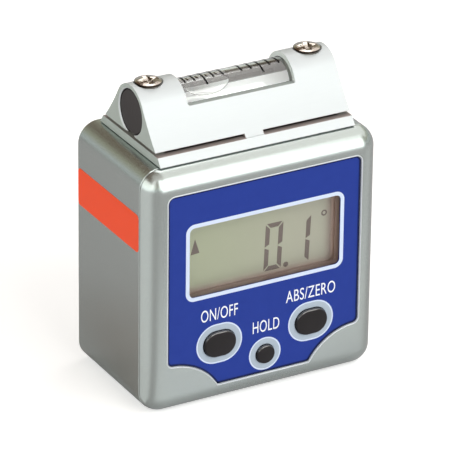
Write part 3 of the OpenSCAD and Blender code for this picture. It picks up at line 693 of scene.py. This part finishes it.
def filled_plate(name, outline, outward, front, rear, easing, axes=(0, 1, 2)):
    """A plate of that outline with its front edge eased: a short bevel, then the flat front and back.
    Its outline lies in X and Z unless its axes are changed over."""
    profile = ((0, rear), (0, front + easing), (easing, front))
    points, faces = carried_profile(outline, outward, profile, closed=False)
    count = len(outline)
    ring = np.arange(count)
    faces = faces.tolist() + [(2 * count + ring).tolist(), ring[::-1].tolist()]
    return surface_piece(name, points[..., axes], faces, sharp=20.0)


pane = filled_plate("window_pane", pane_outline, pane_outward, pane_low.y, pane_rear, PANE_EASING)
fit_piece(pane, clear_sheet, "case", "clear_pane", "display_window")

# Face label
# A printed film stuck into the case's sunk front: blue, with a pale line round the window,
# pale rings round the buttons and white legends, all silk-screened.
LABEL_BLUE = ink(31, 57, 147)
LABEL_DEEP = ink(27, 52, 139)
LINE_WHITE = ink(212, 225, 246)
RING_GREY = ink(176, 190, 204)
LEGEND_WHITE = ink(244, 247, 252)
THIN_INK = 0.94
LABEL_EASING = 0.06 * MM
PRINT_LIFT = 0.02 * MM
PRINT_SINK = 0.02 * MM

label_film = material("label_film")
orange_peel = label_film.grain(0.35 * MM, detail=2.0)
dots = label_film.grain(2.5 * MM, detail=3.0)
label_film.shader({
    "Base Color": label_film.blend(dots, LABEL_DEEP, LABEL_BLUE),
    "Roughness": 0.42 + orange_peel * 0.12,
    "Specular IOR Level": 0.2,
    "Normal": label_film.relief(orange_peel, 0.008 * MM),
})
label_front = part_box("front_label")[0].y
print_front, print_rear = label_front - PRINT_LIFT, label_front + PRINT_SINK
label_plate = eased_copy("front_label", "label_plate", LABEL_EASING)
fit_piece(label_plate, label_film, "case", "label_blue", "front_label")


def print_ink(name, colour):
    """A screen ink of that colour, a little uneven where it lies thin."""
    thin = tuple(THIN_INK * c for c in colour[:3]) + (1.0,)
    finish = speckled(name, 0.5 * MM, thin, colour, (0.42, 0.1), detail=3.0)
    finish.shader({"Specular IOR Level": 0.15})
    return finish


line_ink = print_ink("line_ink", LINE_WHITE)
ring_ink = print_ink("ring_ink", RING_GREY)
legend_ink = print_ink("legend_ink", LEGEND_WHITE)

# Label lip
# The edge of the sunk place stands up in a fine ridge where the mould shuts. It is part of the case.
# The ridge is painted pale as a painted highlight, and the film inside it ends in a painted dark line of
# shadow.
LIP_HIGHLIGHT_LIGHT = ink(214, 220, 224)
LIP_HIGHLIGHT_DARK = ink(202, 208, 212)
LIP_SHADOW_BLUE = ink(20, 32, 84)
LABEL_RIM = (0.12 * MM, 0.5 * MM)
# Insets and depths across the ridge, in millimetres
LIP_RIDGE = (
    (0.03, 0.3), (0.0, 0.02), (-0.03, -0.04), (-0.07, -0.09), (-0.12, -0.125),
    (-0.17, -0.135), (-0.22, -0.12), (-0.27, -0.07), (-0.32, 0.02),
)


def edge_chain(mesh, plane_y):
    """The longest closed chain of sharp edges in the plane of that Y, as points in X and Z in order."""
    work = bmesh.new()
    work.from_mesh(mesh)
    bmesh.ops.remove_doubles(work, verts=work.verts, dist=WELD)
    links = {}
    for edge in work.edges:
        flat = all(abs(v.co.y - plane_y) < 2 * WELD for v in edge.verts)
        if flat and edge.calc_face_angle(0.0) > EASED_ANGLE:
            for here, there in (edge.verts, reversed(edge.verts)):
                links.setdefault(here, []).append(there)
    chains = []
    while links:
        chain = [next(iter(links))]
        while chain[-1] in links:
            onward = [v for v in links.pop(chain[-1]) if v in links]
            chain.extend(onward[:1])
        chains.append(np.array([(v.co.x, v.co.z) for v in chain]))
    work.free()
    return max(chains, key=len)


case_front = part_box("front_housing")[0].y
lip = edge_chain(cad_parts["front_housing"].data, case_front)
lip_way = np.roll(lip, -1, axis=0) - np.roll(lip, 1, axis=0)
lip_out = np.column_stack((lip_way[:, 1], -lip_way[:, 0]))
lip_out /= np.linalg.norm(lip_out, axis=1)[:, None]
if np.sum(lip_out * (lip - lip.mean(axis=0))) < 0:
    lip_out = -lip_out
lip_profile = [(inset * MM, case_front + depth * MM) for inset, depth in LIP_RIDGE]
ridge = surface_piece("label_lip", *carried_profile(lip, lip_out, lip_profile, closed=False), sharp=80.0)
# The ridge's pale paint is a painted highlight
lip_highlight_paint = speckled("lip_highlight_paint", 0.4 * MM, LIP_HIGHLIGHT_DARK, LIP_HIGHLIGHT_LIGHT, (0.3, 0.1), metal=0.25)
fit_piece(ridge, lip_highlight_paint, "case", "case_silver")

# A painted dark line of shadow on the film, just inside the ridge
rim_profile = (
    (LABEL_RIM[0], print_rear), (LABEL_RIM[0], print_front),
    (LABEL_RIM[1], print_front), (LABEL_RIM[1], print_rear),
)
lip_shadow_line = surface_piece("label_lip_shadow", *carried_profile(lip, lip_out, rim_profile, closed=True))
fit_piece(lip_shadow_line, print_ink("lip_shadow_ink", LIP_SHADOW_BLUE), "case", "label_blue")

# Window line
# A pale line with round corners, screened on the label round the display's window.
# It is the same ink as the outer edge of the rings.
LINE_AT = np.array((0.24, 35.2)) * MM
LINE_SIZE = np.array((39.0, 18.4)) * MM
LINE_R = 2.1 * MM
LINE_W = 0.9 * MM

window_line = flat_ring("window_line", LINE_AT, LINE_SIZE, LINE_R, LINE_W, print_front, print_rear)
fit_piece(window_line, line_ink, "case", "label_blue")

# Buttons
# Three push buttons moulded in black, with a rounded rim and a slightly crowned top. Each comes
# through the label from behind, where a flange keeps it in, inside two printed rings.
FLANGE_RIM = 0.9 * MM
FLANGE_T = 1.0 * MM
RIM_ROUND = 0.42 * MM
CROWN = 0.18 * MM
RING_MARGIN = 1.75 * MM
RING_EDGE = 0.32 * MM
RING_GAP = 0.15 * MM
BUTTON_DARK = ink(22, 19, 20)
BUTTON_LIGHT = ink(28, 25, 26)
POLISHED_UP = (0.3, 0.6)
BUTTON_STEPS = 9
BUTTONS = {"on_off_button": "on_off_key", "hold_button": "hold_key", "abs_zero_button": "abs_zero_key"}

button_plastic = speckled(
    "button_plastic", 0.08 * MM, BUTTON_DARK, BUTTON_LIGHT, (0.3, 0.14), relief=0.006 * MM, detail=3.0
)
# The upper rim is polished by use
button_plastic.shader({
    "Specular IOR Level": 0.25,
    "Coat Weight": button_plastic.ramp(button_plastic.facing(2), *POLISHED_UP),
    "Coat IOR": 2.0,
    "Coat Roughness": 0.12,
})

for node, body in BUTTONS.items():
    low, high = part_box(node)
    centre = ((low.x + high.x) / 2, (low.z + high.z) / 2)
    size = (high.x - low.x - 2 * FLANGE_RIM, high.z - low.z - 2 * FLANGE_RIM)
    radius = size[1] / 2
    flange_front = high.y - FLANGE_T
    bend = np.linspace(0, math.pi / 2, BUTTON_STEPS)
    rim = np.column_stack((RIM_ROUND * (1 - np.cos(bend)), low.y + CROWN + RIM_ROUND * (1 - np.sin(bend))))
    reach = np.linspace(0, 1, BUTTON_STEPS)[1:]
    top = np.column_stack((RIM_ROUND + (radius - RIM_ROUND) * reach, low.y + CROWN * (1 - reach) ** 2))
    profile = [(radius, high.y), (-FLANGE_RIM, high.y), (-FLANGE_RIM, flange_front), (0, flange_front)]
    profile += rim.tolist() + top.tolist()
    outline, outward = round_outline(centre, size, radius)
    cap = surface_piece(node + "_cap", *carried_profile(outline, outward, profile, closed=False))
    fit_piece(cap, button_plastic, body, "button_black", node)
    grown = (size[0] + 2 * RING_MARGIN, size[1] + 2 * RING_MARGIN)
    inner = (grown[0] - 2 * RING_EDGE, grown[1] - 2 * RING_EDGE)
    edge = flat_ring(node + "_ring_edge", centre, grown, grown[1] / 2, RING_EDGE, print_front, print_rear)
    fit_piece(edge, line_ink, "case", "label_blue")
    band_w = RING_MARGIN - RING_EDGE - RING_GAP
    band = flat_ring(node + "_ring", centre, inner, inner[1] / 2, band_w, print_front, print_rear)
    fit_piece(band, ring_ink, "case", "label_blue")

# Legends
# White capitals over each button, screened on the label in a narrow sans letter.
# Each is set in type, turned to a mesh and fitted to its measured width and height.
LEGENDS = {
    "on_off_legend": ("ON/OFF", (-15.45, -6.4), (20.35, 23.2)),
    "hold_legend": ("HOLD", (-2.6, 4.0), (14.6, 17.45)),
    "abs_zero_legend": ("ABS/ZERO", (5.6, 17.95), (20.2, 23.05)),
}
LETTER_SPACE = 1.06
LETTER_DEEP = 0.05

for name, (words, across_mm, upright_mm) in LEGENDS.items():
    type_set = bpy.data.curves.new(name, "FONT")
    type_set.body = words
    type_set.space_character = LETTER_SPACE
    type_set.extrude = LETTER_DEEP
    drawn = in_scene(name + "_type", type_set)
    mesh = bpy.data.meshes.new_from_object(drawn.evaluated_get(bpy.context.evaluated_depsgraph_get()))
    bpy.data.objects.remove(drawn)
    co = np.empty(3 * len(mesh.vertices))
    mesh.vertices.foreach_get("co", co)
    co = co.reshape(-1, 3)
    share = (co - co.min(0)) / np.ptp(co, axis=0)
    x = across_mm[0] + share[:, 0] * (across_mm[1] - across_mm[0])
    z = upright_mm[0] + share[:, 1] * (upright_mm[1] - upright_mm[0])
    y = print_rear - share[:, 2] * (print_rear - print_front)
    mesh.vertices.foreach_set("co", np.column_stack((x * MM, y, z * MM)).ravel())
    mesh.update()
    mesh.name = name
    mesh.materials.clear()
    fit_piece(in_scene(name, mesh), legend_ink, "case", "label_blue")

# Side patch
# A plain orange film on the case's left side, with round corners, smooth and a little glossy.
# It is stuck on and stands a film's thickness proud.
PATCH_Y = (-11.95, 15.9)
PATCH_Z = (38.4, 47.2)
PATCH_R = 1.0 * MM
PATCH_T = 0.08 * MM
PATCH_EASING = 0.4 * PATCH_T
PATCH_ORANGE = ink(255, 86, 42)
PATCH_DEEP = ink(251, 79, 37)

patch_film = speckled("orange_film", 0.4 * MM, PATCH_DEEP, PATCH_ORANGE, (0.35, 0.1), relief=0.006 * MM)
patch_film.shader({"Specular IOR Level": 0.2})
case_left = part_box("front_housing")[0].x
patch_middle = (sum(PATCH_Y) / 2 * MM, sum(PATCH_Z) / 2 * MM)
patch_size = ((PATCH_Y[1] - PATCH_Y[0]) * MM, (PATCH_Z[1] - PATCH_Z[0]) * MM)
patch_outline, patch_outward = round_outline(patch_middle, patch_size, PATCH_R, steps=12)
patch = filled_plate(
    "side_patch", patch_outline, patch_outward, case_left - PATCH_T, case_left, PATCH_EASING, axes=(1, 0, 2)
)
fit_piece(patch, patch_film, "case", "label_blue")

# Vial bracket
# A length of extruded aluminium, sawn off, milled with the viewing notch and slit from both ends,
# then tumbled and anodised to a pale matt silver. The sawn ends are a little darker. Painted shade
# lies in the slits, on the notch's sill and in the bare drilled bore, with painted light on the
# notch's end walls and in the lower part of the bore under the vial.
BRACKET_EASING = 0.1 * MM
ALUMINIUM_LIGHT = ink(212, 218, 219)
ALUMINIUM_DARK = ink(199, 205, 207)
SAWN = ink(180, 190, 184)
SAWN_FACE = (0.7, 0.95)
NOTCH_END_LIGHT = ink(230, 238, 234)
NOTCH_REACH = 14.0 * MM
SILL_SHADE = ink(164, 172, 169)
SILL_HALF = 13.1 * MM
SILL_FACE = (0.75, 0.95)
SLIT_Z = (59.51 * MM, 60.29 * MM)
SLIT_START = 2.2 * MM
SLIT_MOUTH = (10.4 * MM, 11.4 * MM)
SLIT_END = (20.6 * MM, 21.8 * MM)
DEEP_SHADE = ink(26, 22, 22)
SLIT_MOUTH_SHADE = ink(150, 140, 136)
SLIT_END_SHADE = ink(162, 162, 157)
BORE_R = 5.17 * MM
BORE_AXIS = 65.3 * MM
LIGHT_BAND_EDGE = (-2.0 * MM, -1.9 * MM)
BORE_LIGHT_BAND = ink(240, 244, 244)
BORE_METAL_AND_SHADE = ink(76, 74, 70)
PLUG_SEAT = 22.0 * MM

anodised = material("pale_aluminium")
bracket_low, bracket_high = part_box("vial_bracket")
bracket_y = (bracket_low.y + bracket_high.y) / 2
drawn_lines = anodised.grain(0.05 * MM, detail=4.0, stretch=(120.0, 1.0, 1.0))
pits = anodised.grain(0.09 * MM, detail=3.0)
spot = anodised.place()
along_x, across_y, up_z = (anodised.part(spot, axis) for axis in range(3))
sawn_face = anodised.ramp(abs(anodised.facing(0)), *SAWN_FACE)
texture = drawn_lines * 0.6 + pits * 0.4
skin = anodised.blend(texture, ALUMINIUM_DARK, ALUMINIUM_LIGHT)
# The notch's end walls are painted bright as painted light, and the outer ends keep the sawn tone
end_skin = anodised.blend(abs(along_x) < NOTCH_REACH, SAWN, NOTCH_END_LIGHT)
cut_skin = anodised.blend(sawn_face, skin, end_skin)
# The milled sill of the notch, the only level face along its length, is painted darker as painted shade
# under the vial
level_face = anodised.ramp(anodised.facing(2), *SILL_FACE)
on_sill = level_face * (abs(along_x) < SILL_HALF) * (up_z > BORE_AXIS)
cut_skin = anodised.blend(on_sill, cut_skin, SILL_SHADE)
# The slits are painted with shade: dark deep inside, paler at the mouth and towards the ends
in_slit = (up_z > SLIT_Z[0]) * (up_z < SLIT_Z[1]) * (abs(along_x) > SLIT_START)
in_mouth = anodised.ramp(abs(across_y - bracket_y), *SLIT_MOUTH)
slit_shade = anodised.blend(in_mouth, DEEP_SHADE, SLIT_MOUTH_SHADE)
at_end = anodised.ramp(abs(along_x), *SLIT_END) * (1 - in_mouth)
slit_shade = anodised.blend(at_end, slit_shade, SLIT_END_SHADE)
outer_skin = anodised.blend(in_slit, cut_skin, slit_shade)
# The bore is bare drilled metal, darkened above as painted shade, with a painted band of light in its lower
# part and painted shade at both ends behind the plugs
bore_y, bore_z = across_y - bracket_y, up_z - BORE_AXIS
in_bore = (bore_y * bore_y + bore_z * bore_z) ** 0.5 < BORE_R
bore_light_and_shade = anodised.blend(anodised.ramp(bore_z, *LIGHT_BAND_EDGE), BORE_LIGHT_BAND, BORE_METAL_AND_SHADE)
bore_skin = anodised.blend(abs(along_x) > PLUG_SEAT, bore_light_and_shade, DEEP_SHADE)
anodised.shader({
    "Base Color": anodised.blend(in_bore, outer_skin, bore_skin),
    "Metallic": 0.35 * (1 - in_slit) * (1 - in_bore),
    "Roughness": 0.45 + pits * 0.14,
    "Normal": anodised.relief(texture, 0.006 * MM),
})
bracket = eased_copy("vial_bracket", "bracket_section", BRACKET_EASING)
fit_piece(bracket, anodised, "case", "bracket_aluminium", "vial_bracket")


# Adjusting screws
# Two cross-head screws in bright nickel, sunk into the bracket's crest. Their raised heads are
# cold-formed, with a cross recess that deepens towards the middle.
def turned_points(radii, heights, columns):
    """A profile of radii and heights turned round an upright axis: each row is a circle."""
    angle = np.linspace(0, 2 * math.pi, columns, endpoint=False)
    radius = np.asarray(radii)[:, None]
    height = np.broadcast_to(np.asarray(heights)[:, None], (len(radii), columns))
    return np.stack((radius * np.cos(angle), radius * np.sin(angle), height), axis=-1)


CAD_HEAD_R = 3.15
HEAD_R = 3.03
HEAD_CROWN = 0.5
HEAD_ROUND = 2.4
HEAD_ROWS = 64
HEAD_RIM = 0.35
SHANK_R = 1.5
CROSS_HALF = 2.3
CROSS_W = 0.6
CROSS_DEEP = 1.35
CROSS_RISE = 0.95
ARM_EDGE = 0.1
EDGE_SHADE_BAND = (0.2, 0.02)
SCREW_COLUMNS = 192
PLATING_DARK = ink(160, 151, 141)
PLATING_LIGHT = ink(188, 181, 173)
HEAD_EDGE_SHADE = ink(52, 44, 38)
LEFT_TURN = math.radians(-4)
RIGHT_TURN = math.radians(-17)

screw_low, screw_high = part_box("adjusting_screws")
crown_z = screw_high.z / MM
rim_z = crown_z - HEAD_CROWN
head_share = np.linspace(0, 1, HEAD_ROWS)
head_r = HEAD_R * head_share
head_z = crown_z - HEAD_CROWN * head_share ** HEAD_ROUND
lower_r = np.array((HEAD_R, SHANK_R, SHANK_R, 0.0))
cone_z = rim_z - HEAD_RIM
lower_z = np.array((cone_z, cone_z - (HEAD_R - SHANK_R), screw_low.z / MM, screw_low.z / MM))
screw_shape = turned_points(np.r_[head_r, lower_r], np.r_[head_z, lower_z], SCREW_COLUMNS)


def cross_head(turn, x, y):
    """The screw with its cross recess turned by that angle and moved to x, y: each arm is a slot that
    deepens in a straight line from its outer end to the middle."""
    shape = screw_shape.copy()
    over = shape[:HEAD_ROWS]
    cross_x = abs(over[..., 0] * math.cos(turn) + over[..., 1] * math.sin(turn))
    cross_y = abs(over[..., 1] * math.cos(turn) - over[..., 0] * math.sin(turn))
    along, beside = np.maximum(cross_x, cross_y), np.minimum(cross_x, cross_y)
    in_width = np.clip((CROSS_W + ARM_EDGE - beside) / (2 * ARM_EDGE), 0, 1)
    in_length = np.clip((CROSS_HALF + ARM_EDGE - along) / (2 * ARM_EDGE), 0, 1)
    over[..., 2] -= in_width * in_length * CROSS_DEEP * (1 - CROSS_RISE * along / CROSS_HALF)
    return shape + np.array((x, y, 0))


screw_faces = grid_faces(len(screw_shape), SCREW_COLUMNS)
screw_y = (screw_low.y + screw_high.y) / 2 / MM
screw_x = screw_high.x / MM - CAD_HEAD_R
left_screw = cross_head(LEFT_TURN, -screw_x, screw_y)
right_screw = cross_head(RIGHT_TURN, screw_x, screw_y)
both_screws = np.concatenate((left_screw.reshape(-1, 3), right_screw.reshape(-1, 3))) * MM
both_faces = np.concatenate((screw_faces, screw_faces + left_screw.size // 3))

screw_nickel = material("screw_nickel")
tumbled = screw_nickel.grain(0.3 * MM, detail=3.0)
plating = screw_nickel.blend(tumbled, PLATING_DARK, PLATING_LIGHT)
# The edge of each head is painted dark, as painted shade where it meets the crest
screw_spot = screw_nickel.place()
from_axis_x = abs(screw_nickel.part(screw_spot, 0)) - screw_x * MM
from_axis_y = screw_nickel.part(screw_spot, 1) - screw_y * MM
from_axis = (from_axis_x * from_axis_x + from_axis_y * from_axis_y) ** 0.5
edge_shade = screw_nickel.ramp(from_axis, (HEAD_R - EDGE_SHADE_BAND[0]) * MM, (HEAD_R - EDGE_SHADE_BAND[1]) * MM)
screw_nickel.shader({
    "Base Color": screw_nickel.blend(edge_shade, plating, HEAD_EDGE_SHADE),
    "Metallic": 1.0,
    "Roughness": 0.05 + tumbled * 0.05,
    "Normal": screw_nickel.relief(tumbled, 0.03 * MM),
})
screws = surface_piece("cross_screws", both_screws, both_faces, sharp=50.0)
fit_piece(screws, screw_nickel, "case", "screw_nickel", "adjusting_screws")

# End plugs
# Black plastic discs pressed into the two ends of the bore, with a rounded edge
# and a face that is faintly dished from the moulding.
PLUG_EDGE = 0.25
PLUG_DISH = 0.12
PLUG_PLAY = 0.12
PLUG_COLUMNS = 96
PLUG_DARK = ink(26, 22, 22)
PLUG_LIGHT = ink(40, 34, 33)

plug_plastic = speckled(
    "plug_plastic", 0.25 * MM, PLUG_DARK, PLUG_LIGHT, (0.42, 0.15),
    relief=0.01 * MM, detail=3.0, stretch=(1.0, 1.0, 6.0),
)
for node, side in (("left_end_plug", -1), ("right_end_plug", 1)):
    low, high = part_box(node)
    middle = (low + high) / 2 / MM
    plug_r = (high.z - low.z) / 2 / MM - PLUG_PLAY
    thick = (high.x - low.x) / MM
    bend = np.linspace(0, math.pi / 2, 7)
    rim_r = plug_r - PLUG_EDGE * (1 - np.cos(bend))
    rim_h = thick - PLUG_EDGE * (1 - np.sin(bend))
    dish = np.linspace(1, 0, 12)[1:]
    dish_r = (plug_r - PLUG_EDGE) * dish
    dish_h = thick - PLUG_DISH * (1 - dish ** 2)
    disc = turned_points(np.r_[0, plug_r, rim_r, dish_r], np.r_[0, 0, rim_h, dish_h], PLUG_COLUMNS)
    start = low.x / MM if side > 0 else high.x / MM
    turned = np.stack((
        start + side * disc[..., 2],
        middle.y + side * disc[..., 1],
        middle.z - disc[..., 0],
    ), axis=-1) * MM
    plug = surface_piece(node + "_disc", turned, grid_faces(len(disc), PLUG_COLUMNS), sharp=50.0)
    fit_piece(plug, plug_plastic, "case", "plug_black", node)

# Vial
# A rod of clear acrylic bored from one end, filled with clear liquid and sealed. The hollow is
# barrel-shaped, so that the bubble comes to rest at its highest place.
VIAL_EASING = 0.2
VIAL_COLUMNS = 160
ACRYLIC_IOR = 1.47
POLISH_IOR = 1.9
LIQUID_IOR = 1.0
BARREL = 0.12
FILL_ROWS = 25

tube_low, tube_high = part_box("vial_tube")
vial_y, vial_z = (tube_low.y + tube_high.y) / 2 / MM, (tube_low.z + tube_high.z) / 2 / MM
vial_r = (tube_high.z - tube_low.z) / 2 / MM
vial_left, vial_right = tube_low.x / MM, tube_high.x / MM


def lathe_along_x(radii, places, columns):
    """A profile of radii and places turned round the vial's axis: each row is a circle across it."""
    disc = turned_points(radii, places, columns)
    return np.stack((disc[..., 2], vial_y + disc[..., 0], vial_z + disc[..., 1]), axis=-1) * MM


def see_through(name, colour, ior, polish):
    """A clear solid of that tint, index and share of polished coat, which lets lamp light through."""
    finish = material(name)
    finish.shader({"Base Color": colour, "Roughness": 0.0, "IOR": ior, "Transmission Weight": 1.0})
    finish.shader({"Coat Weight": polish, "Coat IOR": POLISH_IOR, "Coat Roughness": 0.02})
    solid = Value(finish, finish.tree.nodes["Principled BSDF"].outputs[0])
    open_way = finish.node("ShaderNodeBsdfTransparent", inputs={"Color": colour})
    finish.show(finish.node("ShaderNodeMixShader", inputs={0: finish.ray("Shadow"), 1: solid, 2: open_way}))
    return finish


acrylic = see_through("clear_acrylic", (0.98, 0.985, 0.98, 1.0), ACRYLIC_IOR, 1.0)
tube_r = (0, vial_r - VIAL_EASING, vial_r, vial_r, vial_r - VIAL_EASING, 0)
tube_x = (vial_left, vial_left, vial_left + VIAL_EASING, vial_right - VIAL_EASING, vial_right, vial_right)
tube_points = lathe_along_x(tube_r, tube_x, VIAL_COLUMNS)
tube = surface_piece("vial_rod", tube_points, grid_faces(len(tube_r), VIAL_COLUMNS), sharp=30.0)
fit_piece(tube, acrylic, "case", "vial_acrylic", "vial_tube")

fluid_low, fluid_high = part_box("vial_fluid")
fluid_r = (fluid_high.y - fluid_low.y) / 2 / MM
fluid_x = np.linspace(fluid_low.x, fluid_high.x, FILL_ROWS) / MM
barrel_r = fluid_r - BARREL * (2 * fluid_x / (fluid_x[-1] - fluid_x[0])) ** 2
liquid = see_through("vial_liquid", (0.97, 0.985, 0.975, 1.0), LIQUID_IOR, 0.0)
fill_x = np.r_[fluid_x[0], fluid_x, fluid_x[-1]]
fill_points = lathe_along_x(np.r_[0, barrel_r, 0], fill_x, VIAL_COLUMNS)
filling = surface_piece("vial_filling", fill_points, grid_faces(len(fill_x), VIAL_COLUMNS), sharp=30.0)
fit_piece(filling, liquid, "case", "vial_liquid", "vial_fluid")

# Bubble
# Air trapped in the liquid. It hugs the top of the hollow, sags below the solid's flat floor, and
# thins out to its rim and to both round ends.
BUBBLE_TOP_GAP = 0.16
BUBBLE_SAG = 1.5
BUBBLE_ENDS = 2.6
BUBBLE_IOR = 0.8
AIR_ROWS = 49
AIR_COLUMNS = 64

air_low, air_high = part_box("vial_bubble")
air_half = (air_high.x - air_low.x) / 2 / MM
air_wide = (air_high.y - air_low.y) / 2 / MM
air_deep = BUBBLE_SAG * (air_high.z - air_low.z) / MM
air_x = (air_high.x + air_low.x) / 2 / MM
run = np.sin(np.linspace(-math.pi / 2, math.pi / 2, AIR_ROWS))[:, None]
round_angle = np.linspace(0, 2 * math.pi, AIR_COLUMNS, endpoint=False)
swell = np.maximum(1 - abs(run) ** BUBBLE_ENDS, 0) ** (1 / BUBBLE_ENDS)
# The top lies under the hollow's arc, and the underside hangs below it
air_y = air_wide * swell * np.cos(round_angle)
roof = np.sqrt((fluid_r - BUBBLE_TOP_GAP) ** 2 - air_y ** 2)
air_z = roof - air_deep * swell * np.maximum(-np.sin(round_angle), 0)
air_points = np.stack((
    np.broadcast_to(air_x + air_half * run, air_y.shape),
    vial_y + air_y,
    vial_z + air_z,
), axis=-1) * MM
air = material("bubble_air")
air_glass = {"Color": (1, 1, 1, 1), "Roughness": 0.0, "IOR": BUBBLE_IOR}
air.show(air.node("ShaderNodeBsdfGlass", inputs=air_glass))
bubble = surface_piece("air_bubble", air_points, grid_faces(AIR_ROWS, AIR_COLUMNS), sharp=60.0)
fit_piece(bubble, air, "bubble", "bubble_air", "vial_bubble")

# Vial marks
# Ten black lines printed round the front of the vial, five to each side of the middle. The third
# of each five is longer, and the bubble stands between the first two when the level is true.
MARK_SHIFT = 0.25
MARK_PITCH = 2.3
MARK_W = 0.48
MARK_LIFT = 0.02
MARK_STEPS = 40
SHORT_FRONT = math.radians(17.4)
LONG_FRONT = math.radians(35.5)
MARK_REAR = math.radians(50)

black_ink = print_ink("mark_ink", ink(12, 11, 11))
mark_points, mark_faces, mark_used = [], [], 0
for number in (-5, -4, -3, -2, -1, 1, 2, 3, 4, 5):
    front_end = LONG_FRONT if abs(number) == 3 else SHORT_FRONT
    # A small four-cornered section carried along an arc from the front, over the top, to the rear
    sweep = np.linspace(front_end, -MARK_REAR, MARK_STEPS)[:, None]
    section_x = MARK_SHIFT + MARK_PITCH * number + MARK_W / 2 * np.array((-1, 1, 1, -1))
    section_r = vial_r + MARK_LIFT * np.array((1, 1, -0.5, -0.5))
    strip = np.stack((
        np.broadcast_to(section_x, (MARK_STEPS, 4)),
        vial_y - section_r * np.sin(sweep),
        vial_z + section_r * np.cos(sweep),
    ), axis=-1) * MM
    mark_points.append(strip.reshape(-1, 3))
    corners = 4 * MARK_STEPS
    caps = np.array(((0, 1, 2, 3), corners - 1 - np.arange(4)))
    mark_faces.append(np.vstack((grid_faces(MARK_STEPS, 4), caps)) + mark_used)
    mark_used += corners
marks = surface_piece("vial_marks", np.vstack(mark_points), np.vstack(mark_faces))
fit_piece(marks, black_ink, "case", "vial_acrylic")
